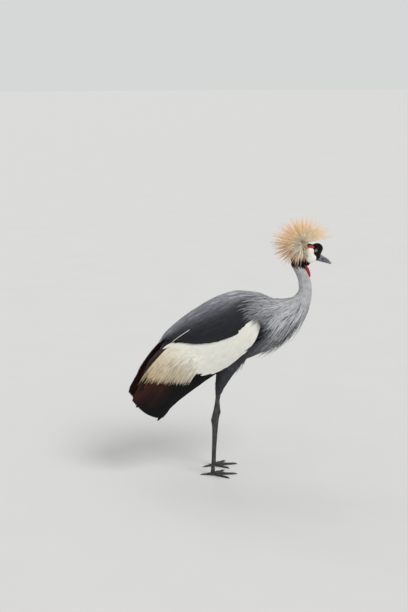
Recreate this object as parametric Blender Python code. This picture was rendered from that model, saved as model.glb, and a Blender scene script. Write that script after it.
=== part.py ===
"""Grey crowned crane standing at rest, life size: metres, +Z up, +X the way it faces, -Y its right.

Two smooth surfaces are drawn first, and the pieces are set on them. The spine surface runs from
the root of the tail along the torso and the neck to the head. The flank surface is the outline
that the folded wings give the body. A feather is a thin vane that walks along one of them from a
root sunk in the flesh.
"""

import math
import random

import bmesh
import bpy
import numpy as np
from mathutils import Matrix, Vector

SEAM = 0.00035  # gap between pieces that touch
RIGHT, LEFT = -1, 1  # signs of Y

# Spine stations: x, z, half width, reach to the back, reach to the belly.
SPINE = (
    (-0.175, 0.440, 0.022, 0.022, 0.022),
    (-0.130, 0.458, 0.045, 0.050, 0.045),
    (-0.060, 0.480, 0.068, 0.086, 0.080),
    (0.020, 0.500, 0.082, 0.116, 0.098),
    (0.100, 0.520, 0.087, 0.121, 0.100),
    (0.170, 0.535, 0.081, 0.109, 0.090),
    (0.230, 0.552, 0.064, 0.080, 0.074),
    (0.280, 0.575, 0.046, 0.055, 0.055),
    (0.318, 0.605, 0.031, 0.036, 0.0385),
    (0.3375, 0.645, 0.0235, 0.0250, 0.0250),
    (0.3355, 0.685, 0.0205, 0.0218, 0.0218),
    (0.3215, 0.720, 0.0190, 0.0190, 0.0190),
    (0.3055, 0.750, 0.0190, 0.0200, 0.0190),
)
TORSO_END, NECK_SPLIT, NECK_END = 7.9, 10.0, 12.0  # places along the stations

# Flank stations: x, top, height of the widest line, bottom, half width.
FLANK = (
    (0.240, 0.628, 0.565, 0.525, 0.066),
    (0.180, 0.642, 0.550, 0.485, 0.094),
    (0.130, 0.650, 0.535, 0.440, 0.108),
    (0.080, 0.652, 0.520, 0.405, 0.113),
    (0.020, 0.634, 0.500, 0.380, 0.114),
    (-0.050, 0.597, 0.475, 0.345, 0.110),
    (-0.100, 0.564, 0.455, 0.325, 0.104),
    (-0.150, 0.523, 0.430, 0.290, 0.097),
    (-0.200, 0.468, 0.390, 0.205, 0.088),
    (-0.245, 0.405, 0.350, 0.205, 0.078),
    (-0.275, 0.350, 0.315, 0.225, 0.068),
    (-0.300, 0.300, 0.285, 0.250, 0.058),
)
FLANK_TUCK = 0.25  # share of the half width lost from the widest line to the bottom

HEAD_AXIS = (  # x, z, half width, reach up, reach down, from the nape to the face
    (0.297, 0.797, 0.010, 0.012, 0.012),
    (0.306, 0.797, 0.020, 0.021, 0.023),
    (0.324, 0.794, 0.0255, 0.030, 0.034),
    (0.344, 0.789, 0.0265, 0.033, 0.037),
    (0.364, 0.784, 0.0235, 0.031, 0.031),
    (0.378, 0.778, 0.0165, 0.024, 0.022),
    (0.389, 0.7725, 0.0100, 0.0155, 0.0120),
)
FOREHEAD = ((0.379, 0.0, 0.8025), (0.0220, 0.0165, 0.0200))  # centre and radii of the velvet cushion
POUCH = ((0.341, 0.0, 0.760), (0.0165, 0.0135, 0.0190))  # centre and radii of the black throat
THROAT = (  # x, z, half width, half depth from the top of the neck into the skull
    (0.308, 0.766, 0.0205, 0.0215),
    (0.322, 0.784, 0.0200, 0.0240),
)
CREST_FOCUS = Vector((0.327, 0.0, 0.824))  # where the bristles point back to
CREST_SKIN = (Vector((0.318, 0.0, 0.811)), Vector((0.026, 0.0225, 0.0245)))
CREST_LENGTH = 0.118

EYE = Vector((0.370, 0.0155, 0.799))
EYE_RADIUS = 0.0068
CHEEK_LOBES = (  # centre and radii of the bare white skin's two lobes
    ((0.348, 0.0205, 0.7945), (0.0155, 0.0075, 0.0165)),
    ((0.3535, 0.0195, 0.7715), (0.0185, 0.0080, 0.0170)),
)
BROW_LOBE = ((0.3495, 0.0185, 0.8105), (0.0150, 0.0055, 0.0075))

BILL_BASE, BILL_TIP = Vector((0.376, 0.0, 0.7715)), Vector((0.4335, 0.0, 0.7475))
BILL_SAG = 0.0022  # how far the mouth line's far end bends down
BILL_STATIONS = (  # share of the length, half width, upper depth, lower depth
    (0.00, 0.0092, 0.0160, 0.0105),
    (0.25, 0.0084, 0.0150, 0.0088),
    (0.50, 0.0066, 0.0130, 0.0066),
    (0.75, 0.0044, 0.0098, 0.0042),
    (0.92, 0.0023, 0.0052, 0.0020),
    (1.00, 0.0009, 0.0014, 0.0006),
)
NOSTRIL = (Vector((0.3997, 0.0074, 0.7657)), (0.0052, 0.0020, 0.0020))  # centre and radii
LID_RING = (0.0066, 0.0015)  # radii of the bare ring round the eye and of its section

WATTLE = (  # x, distance from the middle, z, half width, half depth of one of its two folds
    (0.3355, 0.0030, 0.7470, 0.0036, 0.0042),
    (0.3392, 0.0036, 0.7390, 0.0044, 0.0050),
    (0.3450, 0.0040, 0.7285, 0.0050, 0.0056),
    (0.3492, 0.0040, 0.7180, 0.0046, 0.0052),
    (0.3526, 0.0036, 0.7085, 0.0034, 0.0038),
    (0.3545, 0.0030, 0.7020, 0.0013, 0.0015),
)

THIGH_TOP, THIGH_END = Vector((0.072, 0.043, 0.462)), Vector((0.016, 0.047, 0.300))
HOCK, ANKLE = Vector((0.001, 0.049, 0.212)), Vector((-0.004, 0.050, 0.020))
LEFT_STEP = (0.004, 0.014, 0.030, 0.022)  # how far the left leg's joints stand ahead, from the hip down
THIGH_SIZES = (  # share of the length, half width, half depth
    (0.00, 0.024, 0.050),
    (0.30, 0.023, 0.040),
    (0.60, 0.016, 0.024),
    (0.85, 0.010, 0.013),
    (1.00, 0.0082, 0.0098),
)
SHANK_SIZES = (
    (0.00, 0.0070, 0.0085),
    (0.50, 0.0062, 0.0072),
    (0.85, 0.0072, 0.0088),
    (1.00, 0.0082, 0.0100),
)
TARSUS_SIZES = (
    (0.00, 0.0082, 0.0105),
    (0.05, 0.0080, 0.0115),
    (0.13, 0.0060, 0.0082),
    (0.30, 0.0048, 0.0060),
    (0.75, 0.0047, 0.0056),
    (0.93, 0.0062, 0.0066),
    (1.00, 0.0072, 0.0072),
)
PAD_SIZES = (
    (0.00, 0.0072, 0.0072),
    (0.50, 0.0085, 0.0088),
    (1.00, 0.0095, 0.0100),
)
PAD_LEVEL = 0.002  # height of the foot pad's last section
TOES = (  # name, turn from straight ahead towards the outside in degrees, length, radius, claw
    ("middle", 3, 0.074, 0.0052, 0.014),
    ("outer", 42, 0.058, 0.0048, 0.012),
    ("inner", -40, 0.054, 0.0048, 0.012),
    ("hind", 194, 0.032, 0.0045, 0.014),
)

TOE_SHAPE = ((0.0, 1.15), (0.25, 0.92), (0.45, 1.08), (0.65, 0.84), (0.86, 0.74), (1.0, 0.70))
TOE_HEIGHT = 0.86  # height of a toe's axis in its radii, which leaves it a small flat on the ground
TOE_RISE = 0.006  # how much higher a toe starts at the foot pad
NAIL_SHAPE = (  # share of the length, radius and height of the axis in toe radii
    (0.00, 0.62, 0.64), (0.14, 0.60, 0.64), (0.45, 0.48, 0.54), (0.75, 0.30, 0.36), (1.0, 0.10, 0.14)
)

# How many feathers there are: tiers along the body by rows across it, or single ones, for each side.
SCAPULARS, PLUMES, COVERTS = (5, 4), (4, 6), (4, 4)
STRAWS, SECONDARIES, PRIMARIES, TAIL_FEATHERS, BRISTLES = 7, 7, 5, 8, 180

# Half width of each kind of feather and its turn about the shaft in radians.
SCAPULAR_VANE, PLUME_VANE, COVERT_VANE = (0.0160, -0.12), (0.0068, -0.08), (0.0160, -0.11)
STRAW_VANE, SECONDARY_VANE, PRIMARY_VANE = (0.0100, -0.06), (0.0190, -0.10), (0.0165, 0.0)
TAIL_VANE = (0.0078, 0.24)
VANE_THICK = 0.0008

COLOURS = {
    "slate": ((0.13, 0.14, 0.16), 0.75),
    "grey": ((0.36, 0.37, 0.40), 0.8),
    "white": ((0.78, 0.76, 0.68), 0.75),
    "straw": ((0.72, 0.58, 0.34), 0.7),
    "chestnut": ((0.12, 0.035, 0.015), 0.65),
    "black": ((0.012, 0.013, 0.016), 0.6),
    "bill": ((0.16, 0.18, 0.22), 0.4),
    "bare_white": ((0.85, 0.80, 0.78), 0.45),
    "bare_red": ((0.55, 0.03, 0.04), 0.4),
    "crest": ((0.80, 0.58, 0.28), 0.6),
    "eye": ((0.45, 0.50, 0.52), 0.1),
    "leg": ((0.035, 0.036, 0.04), 0.5),
    "claw": ((0.02, 0.02, 0.022), 0.35),
}


def material(name):
    """The finish of that name, made once."""
    found = bpy.data.materials.get(name)
    if found:
        return found
    colour, roughness = COLOURS[name]
    made = bpy.data.materials.new(name)
    made.use_nodes = True
    shader = made.node_tree.nodes["Principled BSDF"]
    shader.inputs["Base Color"].default_value = (*colour, 1.0)
    shader.inputs["Roughness"].default_value = roughness
    shader.inputs["Metallic"].default_value = 0.0
    made.diffuse_color = (*colour, 1.0)
    return made


def smooth(rows, t):
    """The row of a table of stations at the fractional place t, on a Catmull-Rom curve."""
    rows = np.asarray(rows, float)
    i = min(max(int(math.floor(t)), 0), len(rows) - 2)
    f = t - i
    p0, p1, p2, p3 = (rows[min(max(k, 0), len(rows) - 1)] for k in range(i - 1, i + 3))
    square, cube = f * f, f * f * f
    return 0.5 * (
        2 * p1
        + (p2 - p0) * f
        + (2 * p0 - 5 * p1 + 4 * p2 - p3) * square
        + (3 * p1 - p0 - 3 * p2 + p3) * cube
    )


def place_of(rows, x):
    """The place along a table of stations, whose first column falls or rises steadily, where it is x."""
    low, high = 0.0, len(rows) - 1.0
    rising = rows[-1][0] > rows[0][0]
    for _ in range(40):
        middle = (low + high) / 2
        if (smooth(rows, middle)[0] < x) == rising:
            low = middle
        else:
            high = middle
    return (low + high) / 2


def powered(value, power):
    return math.copysign(abs(value) ** power, value)


class Surface:
    """A surface with two parameters, on the bird's right or left side."""

    side = RIGHT

    def point(self, u, v):
        raise NotImplementedError

    def frame(self, u, v):
        """Point, its two tangents and the outward normal."""
        step = 1e-3
        here = self.point(u, v)
        along = (self.point(u + step, v) - self.point(u - step, v)) / (2 * step)
        across = (self.point(u, v + step) - self.point(u, v - step)) / (2 * step)
        normal = along.cross(across).normalized()
        if normal.dot(here - self.inside(u)) < 0:
            normal.negate()
        return here, along, across, normal

    def walk(self, u, v, heading, length, steps):
        """Points and normals of a path that keeps to the heading as far as the surface lets it."""
        heading = Vector(heading)
        stride = length / (steps * 4)
        path = []
        for k in range(steps * 4 + 1):
            here, along, across, normal = self.frame(u, v)
            if k % 4 == 0:
                path.append((here, normal))
            go = heading - normal * heading.dot(normal)
            go = go.normalized() * stride
            a, b, c = along.dot(along), along.dot(across), across.dot(across)
            p, q = go.dot(along), go.dot(across)
            spread = a * c - b * b
            u += (p * c - q * b) / spread
            v += (q * a - p * b) / spread
        return path


class Spine(Surface):
    """Torso and neck. u is the place along the stations, v the angle from the back, in radians."""

    roundness = 0.92

    def __init__(self, side=RIGHT, grow=0.0):
        self.side = side
        self.grow = grow

    def centre(self, u):
        x, z = smooth(SPINE, u)[:2]
        return Vector((x, 0.0, z))

    def inside(self, u):
        return self.centre(u)

    def dorsal(self, u):
        """The direction from the centre line to the back."""
        ahead = (self.centre(u + 0.01) - self.centre(u - 0.01)).normalized()
        return Vector((-ahead.z, 0.0, ahead.x))

    def point(self, u, v):
        half, back, belly = (size + self.grow for size in smooth(SPINE, u)[2:])
        reach = back if math.cos(v) > 0 else belly
        across = Vector((0.0, self.side * half * powered(math.sin(v), self.roundness), 0.0))
        return self.centre(u) + across + self.dorsal(u) * reach * powered(math.cos(v), self.roundness)

    def ring(self, u, count):
        return [self.point(u, 2 * math.pi * k / count) for k in range(count)]


class Flank(Surface):
    """Outline of the folded wings. v runs from 0 at the back over 1 at the widest line to 2."""

    squareness = 0.9

    def __init__(self, side=RIGHT):
        self.side = side

    def inside(self, u):
        x, _, waist, _, _ = smooth(FLANK, u)
        return Vector((x, 0.0, waist))

    def point(self, u, v):
        x, top, waist, bottom, half = smooth(FLANK, u)
        if v <= 1:
            turn = v * math.pi / 2
            out = half * powered(math.sin(turn), self.squareness)
            height = waist + (top - waist) * powered(math.cos(turn), self.squareness)
        else:
            out = half * (1 - FLANK_TUCK * (v - 1) ** 2)
            height = waist - (waist - bottom) * (v - 1)
        return Vector((x, self.side * out, height))

    def place(self, x, z):
        """The parameters of the surface's point at that length and height."""
        u = place_of(FLANK, x)
        _, top, waist, bottom, _ = smooth(FLANK, u)
        if z < waist:
            return u, 1 + (waist - z) / (waist - bottom)
        share = min(max((z - waist) / (top - waist), 0.0), 1.0)
        return u, math.acos(share ** (1 / self.squareness)) * 2 / math.pi


def finished(bm, name, colour):
    """The bmesh as an object with its faces out and its finish."""
    bmesh.ops.recalc_face_normals(bm, faces=bm.faces)
    mesh = bpy.data.meshes.new(name)
    bm.to_mesh(mesh)
    bm.free()
    mesh.materials.append(material(colour))
    obj = bpy.data.objects.new(name, mesh)
    bpy.context.scene.collection.objects.link(obj)
    return obj


def loft(name, rings, colour):
    """A closed solid through rings of equally many points, with flat ends."""
    bm = bmesh.new()
    loops = [[bm.verts.new(point) for point in ring] for ring in rings]
    for low, high in zip(loops, loops[1:]):
        for k in range(len(low)):
            n = (k + 1) % len(low)
            bm.faces.new((low[k], low[n], high[n], high[k]))
    bm.faces.new(loops[0])
    bm.faces.new(loops[-1])
    return finished(bm, name, colour)


def spine_solid(name, start, end, rings, count, colour, grow=0.0, seam=0.0):
    """A length of torso or neck between two places along the stations."""
    surface = Spine(grow=grow)
    places = [start + (end - start) * k / (rings - 1) for k in range(rings)]
    loops = [surface.ring(u, count) for u in places]
    ahead = (surface.centre(start + 0.01) - surface.centre(start)).normalized()
    loops[0] = [point + ahead * (seam - grow) for point in loops[0]]
    ahead = (surface.centre(end) - surface.centre(end - 0.01)).normalized()
    loops[-1] = [point + ahead * grow for point in loops[-1]]
    return loft(name, loops, colour)


def tube(name, path, count, colour, floor=False, ends=(None, None)):
    """A solid along a path of (centre, half width, half depth), its end faces square to ends."""
    rings = []
    centres = [Vector(station[0]) for station in path]
    for k, (centre, wide, deep) in enumerate(path):
        ahead = (centres[min(k + 1, len(path) - 1)] - centres[max(k - 1, 0)]).normalized()
        if k == 0 and ends[0]:
            ahead = ends[0]
        if k == len(path) - 1 and ends[1]:
            ahead = ends[1]
        guide = Vector((0, 0, 1)) if abs(ahead.z) < 0.8 else Vector((1, 0, 0))
        across = guide.cross(ahead).normalized()
        up = ahead.cross(across)
        ring = []
        for n in range(count):
            turn = 2 * math.pi * (n + 0.5) / count
            point = Vector(centre) + across * wide * math.cos(turn) + up * deep * math.sin(turn)
            if floor:
                point.z = max(point.z, 0.0)
            ring.append(point)
        rings.append(ring)
    return loft(name, rings, colour)


def ellipsoid(name, centre, radii, colour, segments=12, rings=8, grow=0.0):
    """A ball stretched to its three radii."""
    bm = bmesh.new()
    bmesh.ops.create_uvsphere(bm, u_segments=segments, v_segments=rings, radius=1.0)
    bmesh.ops.scale(bm, vec=[radius + grow for radius in radii], verts=bm.verts)
    bmesh.ops.translate(bm, vec=centre, verts=bm.verts)
    return finished(bm, name, colour)


# Outlines of feathers: share of the length and share of the half width.
FLIGHT = ((0.0, 0.40), (0.25, 0.85), (0.60, 1.0), (0.88, 0.80), (1.0, 0.28))
COVERT = ((0.0, 0.60), (0.35, 0.95), (0.75, 0.95), (1.0, 0.40))
PLUME = ((0.0, 0.60), (0.5, 1.0), (0.75, 0.72), (1.0, 0.14))


def vane(path, shape, size, colour, side=RIGHT):
    """A thin feather along a path of (point, normal), with its half width and turn in size."""
    count = len(path)
    half_width, roll = size
    shares, widths = zip(*shape)
    bm = bmesh.new()
    stations = []
    for k, (point, normal) in enumerate(path):
        ahead = (path[min(k + 1, count - 1)][0] - path[max(k - 1, 0)][0]).normalized()
        turned = Matrix.Rotation(roll * side, 3, ahead)
        reach = side * half_width * np.interp(k / (count - 1), shares, widths)
        wide = turned @ ahead.cross(normal).normalized() * reach
        deep = turned @ normal * VANE_THICK / 2
        corners = (point + wide + deep, point - wide + deep, point - wide - deep, point + wide - deep)
        stations.append([bm.verts.new(corner) for corner in corners])
    for here, there in zip(stations, stations[1:]):
        for k in range(4):
            n = (k + 1) % 4
            bm.faces.new((here[k], here[n], there[n]))
            bm.faces.new((here[k], there[n], there[k]))
    for a, b, c, d in (stations[0], stations[-1]):
        bm.faces.new((a, b, c))
        bm.faces.new((a, c, d))
    return finished(bm, "vane", colour)


def lifted_path(path, lifts):
    """The path raised along its normals by a rule from share of length to height."""
    shares, heights = [s for s, _ in lifts], [h for _, h in lifts]
    count = len(path) - 1
    return [(p + n * float(np.interp(k / count, shares, heights)), n) for k, (p, n) in enumerate(path)]


def surface_volume(faces):
    """Signed volume that a set of bmesh faces encloses."""
    total = 0.0
    for face in faces:
        first = face.verts[0].co
        for a, b in zip(face.verts[1:], face.verts[2:]):
            total += first.dot(a.co.cross(b.co)) / 6
    return total


def keep_largest(mesh):
    """Leaves only the largest closed surface of the mesh, with its doubles merged."""
    bm = bmesh.new()
    bm.from_mesh(mesh)
    left = set(bm.faces)
    shells = []
    while left:
        front = [left.pop()]
        shell = list(front)
        while front:
            face = front.pop()
            for edge in face.edges:
                for other in edge.link_faces:
                    if other in left:
                        left.remove(other)
                        front.append(other)
                        shell.append(other)
        shells.append(shell)
    shells.sort(key=surface_volume)
    scraps = [face for shell in shells[:-1] for face in shell]
    bmesh.ops.delete(bm, geom=scraps, context="FACES")
    bm.to_mesh(mesh)
    bm.free()


def boolean(obj, operation, others, solver):
    """Adds one Boolean of a collection that holds the others, and gives the collection."""
    group = bpy.data.collections.new(f"{obj.name}_{operation.lower()}")
    for other in others:
        group.objects.link(other)
    modifier = obj.modifiers.new(operation.title(), "BOOLEAN")
    modifier.operation = operation
    modifier.operand_type = "COLLECTION"
    modifier.collection = group
    modifier.solver = solver
    return group


def fuse(core, pieces=(), cutters=(), solver="MANIFOLD"):
    """Joins pieces to the core, takes the cutters away and keeps the largest closed surface."""
    groups = []
    if pieces:
        groups.append(boolean(core, "UNION", pieces, solver))
    if cutters:
        groups.append(boolean(core, "DIFFERENCE", cutters, solver))
    bpy.context.view_layer.update()
    graph = bpy.context.evaluated_depsgraph_get()
    made = bpy.data.meshes.new_from_object(core.evaluated_get(graph), depsgraph=graph)
    core.modifiers.clear()
    core.data = made
    keep_largest(made)
    for group in groups:
        bpy.data.collections.remove(group)
    for spent in (*pieces, *cutters):
        bpy.data.objects.remove(spent)
    return core


SCAPULAR_LOW = (  # tips of the lowest scapulars, along the white band's upper edge, from the front
    (0.104, 0.590), (0.072, 0.540), (0.030, 0.514), (-0.025, 0.497),
    (-0.080, 0.493), (-0.128, 0.498), (-0.170, 0.497),
)
SCAPULAR_HIGH = (  # tips of the scapulars beside the midline
    (0.100, 0.640), (0.055, 0.634), (0.010, 0.618), (-0.040, 0.592),
    (-0.090, 0.562), (-0.140, 0.524), (-0.188, 0.473),
)
CLOAK_FRONT, CLOAK_REAR = 0.235, 0.170  # x between which the breast plumes come to lie over the wings


def scapulars(side):
    """Long slate feathers from the shoulder line over the wing's upper edge, in five tiers."""
    flank = Flank(side)
    made = []
    tiers, rows = SCAPULARS
    for tier in range(tiers):
        for row in range(rows):
            share = (row + 0.5 * (tier % 2)) / (rows - 0.5)
            place = tier * 6 / (tiers - 1)
            low, high = smooth(SCAPULAR_LOW, place), smooth(SCAPULAR_HIGH, place)
            x, z = low + (high - low) * share
            rise = 1.0 - 0.72 * share
            length = 0.112 + 0.035 * (1 - share) + 0.028 * tier / (tiers - 1)
            path = flank.walk(*flank.place(x, z), Vector((1.0, 0.0, rise)), length, 3)[::-1]
            high_tip = 0.0050 - 0.0004 * tier
            lifts = ((0, -0.034 + 0.008 * share), (0.30, -0.010), (1, high_tip))
            made.append(vane(lifted_path(path, lifts), FLIGHT, SCAPULAR_VANE, "slate", side))
    return made


def cloaked(path, side):
    """The path pushed out to the wings' outline behind the shoulder, so that it lies over them."""
    flank = Flank(side)
    made = []
    for k, (point, normal) in enumerate(path):
        u, v = flank.place(point.x, point.z)
        outline, _, _, out = flank.frame(u, v)
        weight = min(max((CLOAK_FRONT - point.x) / (CLOAK_FRONT - CLOAK_REAR), 0.0), 1.0) * min(k, 1)
        if abs(outline.y) > abs(point.y) and v < 2:
            point = point.lerp(Vector((point.x, outline.y, point.z)), weight)
            normal = normal.lerp(out, weight).normalized()
        made.append((point, normal))
    return made


def body_plumes(side):
    """Narrow grey plumes of the mantle, the neck base and the chest, in rows round the body."""
    surface = Spine(side)
    made = []
    tiers, rows = PLUMES
    for tier in range(tiers):
        share = tier / (tiers - 1)
        place = 7.6 - 2.1 * share
        for row in range(rows):
            turn = math.pi * (row + 0.3 + 0.4 * (tier % 2)) / rows
            chest = 0.5 - 0.5 * math.cos(turn)
            reach = (0.085 + 0.02 * math.sin(math.pi * share)) * (1 - 0.30 * share * math.sin(turn) ** 2)
            heading = Vector((-0.95, 0.0, -0.12 - 0.9 * chest))
            path = cloaked(surface.walk(place, turn, heading, reach, 3), side)
            hang = 0.0060 + 0.005 * max(chest - 0.6, 0)
            lifts = ((0, -0.007), (0.34, 0.0035), (1, hang))
            made.append(vane(lifted_path(path, lifts), PLUME, PLUME_VANE, "grey", side))
    return made


def make_torso():
    """The torso with its scapulars and plumes."""
    core = spine_solid("torso", 0.0, TORSO_END, 15, 18, "slate")
    feathers = []
    for side in (RIGHT, LEFT):
        feathers += scapulars(side) + body_plumes(side)
    return fuse(core, feathers)


def grown_torso():
    return spine_solid("torso_room", -0.02, TORSO_END, 15, 18, "slate", grow=0.0012)


def make_neck():
    spine_solid("neck_lower", TORSO_END, NECK_SPLIT, 6, 16, "grey", seam=SEAM)
    spine_solid("neck_upper", NECK_SPLIT, NECK_END, 6, 16, "grey", seam=SEAM)


ARM = (  # x, top and bottom of the folded arm, depths of its outer and inner face in the outline
    (0.163, 0.566, 0.540, 0.007, 0.012),
    (0.140, 0.580, 0.508, 0.007, 0.022),
    (0.095, 0.566, 0.462, 0.007, 0.030),
    (0.045, 0.545, 0.424, 0.007, 0.022),
    (-0.010, 0.528, 0.400, 0.007, 0.015),
    (-0.060, 0.518, 0.396, 0.007, 0.014),
    (-0.110, 0.514, 0.402, 0.007, 0.013),
    (-0.150, 0.504, 0.418, 0.007, 0.012),
)
ARM_BEVEL = 0.0019  # how much thinner the arm is on each face along its edges


def arm_core():
    """The folded arm's flesh, a thick sheet that lies just inside the outline."""
    flank = Flank()
    lengths, heights = 9, 4
    outer, inner = [], []
    for i in range(lengths):
        x, top, bottom, shallow, deep = smooth(ARM, i * (len(ARM) - 1) / (lengths - 1))
        outer_row, inner_row = [], []
        for j in range(heights):
            share = j / (heights - 1)
            here, _, _, normal = flank.frame(*flank.place(x, top + (bottom - top) * share))
            edge = ARM_BEVEL if j in (0, heights - 1) or i in (0, lengths - 1) else 0.0
            outer_row.append(here - normal * (shallow + edge))
            inner_row.append(here - normal * (deep - edge))
        outer.append(outer_row)
        inner.append(inner_row)
    rings = [low + high[::-1] for low, high in zip(outer, inner)]
    return loft("wing_right", rings, "white")


def name_of(side):
    return "right" if side == RIGHT else "left"


BAND_TOP = (  # upper and lower edges of the white covert band, seen from the side
    (0.130, 0.576), (0.088, 0.552), (0.050, 0.520), (-0.002, 0.504),
    (-0.050, 0.493), (-0.098, 0.493), (-0.140, 0.501),
)
BAND_BOTTOM = (
    (0.156, 0.545), (0.130, 0.500), (0.093, 0.457), (0.055, 0.421),
    (0.005, 0.396), (-0.045, 0.394), (-0.095, 0.394),
)


def coverts():
    """White coverts in tiers across the band, each lying over the next."""
    flank = Flank()
    made = []
    tiers, rows = COVERTS
    for tier in range(tiers):
        place = 5.0 * tier / (tiers - 1)
        top, bottom = smooth(BAND_TOP, place), smooth(BAND_BOTTOM, place)
        along_top = smooth(BAND_TOP, place + 0.5) - smooth(BAND_TOP, max(place - 0.5, 0))
        along_bottom = smooth(BAND_BOTTOM, place + 0.5) - smooth(BAND_BOTTOM, max(place - 0.5, 0))
        for row in range(rows):
            share = (row + 0.30 + 0.4 * (tier % 2)) / rows
            x, z = top + (bottom - top) * share
            go = along_top + (along_bottom - along_top) * share
            path = flank.walk(*flank.place(x, z), Vector((go[0], 0.0, go[1])), 0.074, 3)
            lifts = ((0, -0.0125 + 0.0026 * tier / (tiers - 1)), (1, -0.0022))
            made.append(vane(lifted_path(path, lifts), COVERT, COVERT_VANE, "white"))
    return made


def hanging_path(root, tip, depth_root, depth_tip, steps, bow=0.0):
    """A path over the outline from root to tip, both seen from the side, at depths inside it."""
    flank = Flank()
    path = []
    for k in range(steps + 1):
        share = k / steps
        x = root[0] + (tip[0] - root[0]) * share
        z = root[1] + (tip[1] - root[1]) * share + bow * math.sin(math.pi * share)
        u, v = flank.place(x, z)
        here, _, _, normal = flank.frame(u, max(v, 0.5))
        depth = depth_root + (depth_tip - depth_root) * share
        path.append((here - normal * depth, normal))
    return path


def straw_plumes():
    """Long straw plumes that hang from the wing's hind edge over the chestnut feathers."""
    made = []
    draw = random.Random(11)
    for k in range(STRAWS):
        share = k / (STRAWS - 1)
        low = k % 2
        root = (-0.080 - 0.062 * share, 0.470 + 0.018 * share - 0.030 * low)
        reach, drop = draw.uniform(-0.006, 0.006), draw.uniform(0, 0.016)
        tip = (-0.140 - 0.125 * share + reach, 0.352 + 0.024 * share - drop)
        depth = 0.0004 + 0.0016 * (1 - low)
        path = hanging_path(root, tip, 0.0095, depth, 3, bow=0.010)
        made.append(vane(path, PLUME, STRAW_VANE, "straw"))
    return made


def secondaries():
    """Chestnut flight feathers of the inner wing, drooping over the tail."""
    made = []
    for k in range(SECONDARIES):
        share = k / (SECONDARIES - 1)
        root = (-0.040 - 0.100 * share, 0.440 + 0.035 * share)
        tip = (-0.180 - 0.112 * share, 0.222 + 0.006 * share + 0.062 * share ** 2.5)
        depth = 0.0120 - 0.0060 * share
        path = hanging_path(root, tip, 0.0102, depth, 4, bow=0.012)
        made.append(vane(path, FLIGHT, SECONDARY_VANE, "chestnut"))
    return made


def primaries():
    """Black flight feathers of the hand, stacked along the wing's lower edge."""
    made = []
    for k in range(PRIMARIES):
        share = k / (PRIMARIES - 1)
        root = (0.075 - 0.055 * share, 0.450 - 0.006 * share)
        tip = (-0.125 - 0.077 * share, 0.308 - 0.098 * share)
        depth = 0.0270 - 0.0100 * share
        path = hanging_path(root, tip, 0.0125, depth, 4, bow=-0.012 * (1 - share))
        made.append(vane(path, FLIGHT, PRIMARY_VANE, "black"))
    return made


def make_wings():
    """The folded wings: arm, coverts, plumes and flight feathers, the left as the right's mirror image."""
    feathers = coverts() + straw_plumes() + secondaries() + primaries()
    right = fuse(arm_core(), feathers, [grown_torso()])
    mesh = right.data.copy()
    mesh.name = "wing_left"
    mesh.transform(Matrix.Diagonal((1, -1, 1, 1)))
    mesh.flip_normals()
    bpy.context.scene.collection.objects.link(bpy.data.objects.new("wing_left", mesh))


def make_tail():
    """The root of the tail and its twelve feathers, folded."""
    root = Spine().centre(0.0)
    down = Vector((-0.42, 0.0, -0.91)).normalized()
    back = Vector((-0.91, 0.0, 0.42))
    stations = ((0.014, 0.0, 0.016, 0.016), (-0.012, -0.008, 0.022, 0.013), (-0.024, -0.032, 0.027, 0.009),
                (-0.034, -0.054, 0.026, 0.004))
    path = [(root + Vector((x, 0, z)), wide, deep) for x, z, wide, deep in stations]
    core = tube("tail", path, 12, "black")
    feathers = []
    for k in range(TAIL_FEATHERS):
        spread = (2 * k + 1 - TAIL_FEATHERS) / (TAIL_FEATHERS - 1)
        inner = abs(2 * k + 1 - TAIL_FEATHERS) == 1
        level = (0.0012 if spread < 0 else 0.0028) if inner else 0.0
        start = root + Vector((-0.026, 0.022 * spread, -0.034)) + back * level
        heading = (down + Vector((0, 0.035 * spread, 0))).normalized()
        length = 0.175 - 0.012 * spread * spread
        path = [(start + heading * length * share, back) for share in (0, 0.35, 0.7, 1)]
        half_width, tilt = TAIL_VANE
        roll = 0.0 if inner else math.copysign(tilt, -spread)
        feathers.append(vane(path, FLIGHT, (half_width, roll), "black"))
    return fuse(core, feathers, [grown_torso()])


def head_rings(grow=0.0, count=14):
    rings = []
    places = np.linspace(0, len(HEAD_AXIS) - 1, 9)
    for u in places:
        x, z, half, up, down = smooth(HEAD_AXIS, u)
        before, after = smooth(HEAD_AXIS, u - 0.01), smooth(HEAD_AXIS, u + 0.01)
        ahead = Vector((after[0] - before[0], 0, after[1] - before[1])).normalized()
        rise = Vector((-ahead.z, 0, ahead.x))
        end = -grow if u == 0 else grow if u == places[-1] else 0
        ring = []
        for k in range(count):
            turn = 2 * math.pi * k / count
            reach = (up if math.sin(turn) > 0 else down) + grow
            point = Vector((x, (half + grow) * math.cos(turn), z)) + rise * reach * math.sin(turn)
            ring.append(point + ahead * end)
        rings.append(ring)
    return rings


def throat(name, colour, grow=0.0):
    """The top of the neck inside the head, and the throat below the face."""
    x, z, half, back, _ = smooth(SPINE, NECK_END - 0.15)
    path = [
        (Vector((x, 0, z)), wide + grow, deep + grow)
        for x, z, wide, deep in ((x, z, half, back), *THROAT)
    ]
    return tube(name, path, 14, colour)


def mandible(name, part, colour, grow=0.0):
    """The upper or the lower half of the bill, flat along the line of the mouth."""
    along = BILL_TIP - BILL_BASE
    ahead = along.normalized()
    up = Vector((-ahead.z, 0, ahead.x))
    sign = 1 if part == "upper" else -1
    rings = []
    for share, half, upper, lower in BILL_STATIONS:
        depth = upper if part == "upper" else lower
        sag = -BILL_SAG * share ** 3
        start = -grow if share == 0 else 0
        centre = BILL_BASE + along * share + up * (sag + sign * SEAM / 2) + ahead * start
        ring = []
        for k in range(8):
            turn = math.pi * k / 7
            offset = Vector((0, (half + grow) * math.cos(turn), 0))
            ring.append(centre + offset + up * sign * ((depth + 2 * grow) * math.sin(turn) - grow))
        rings.append(ring)
    return loft(name, rings, colour)


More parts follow.
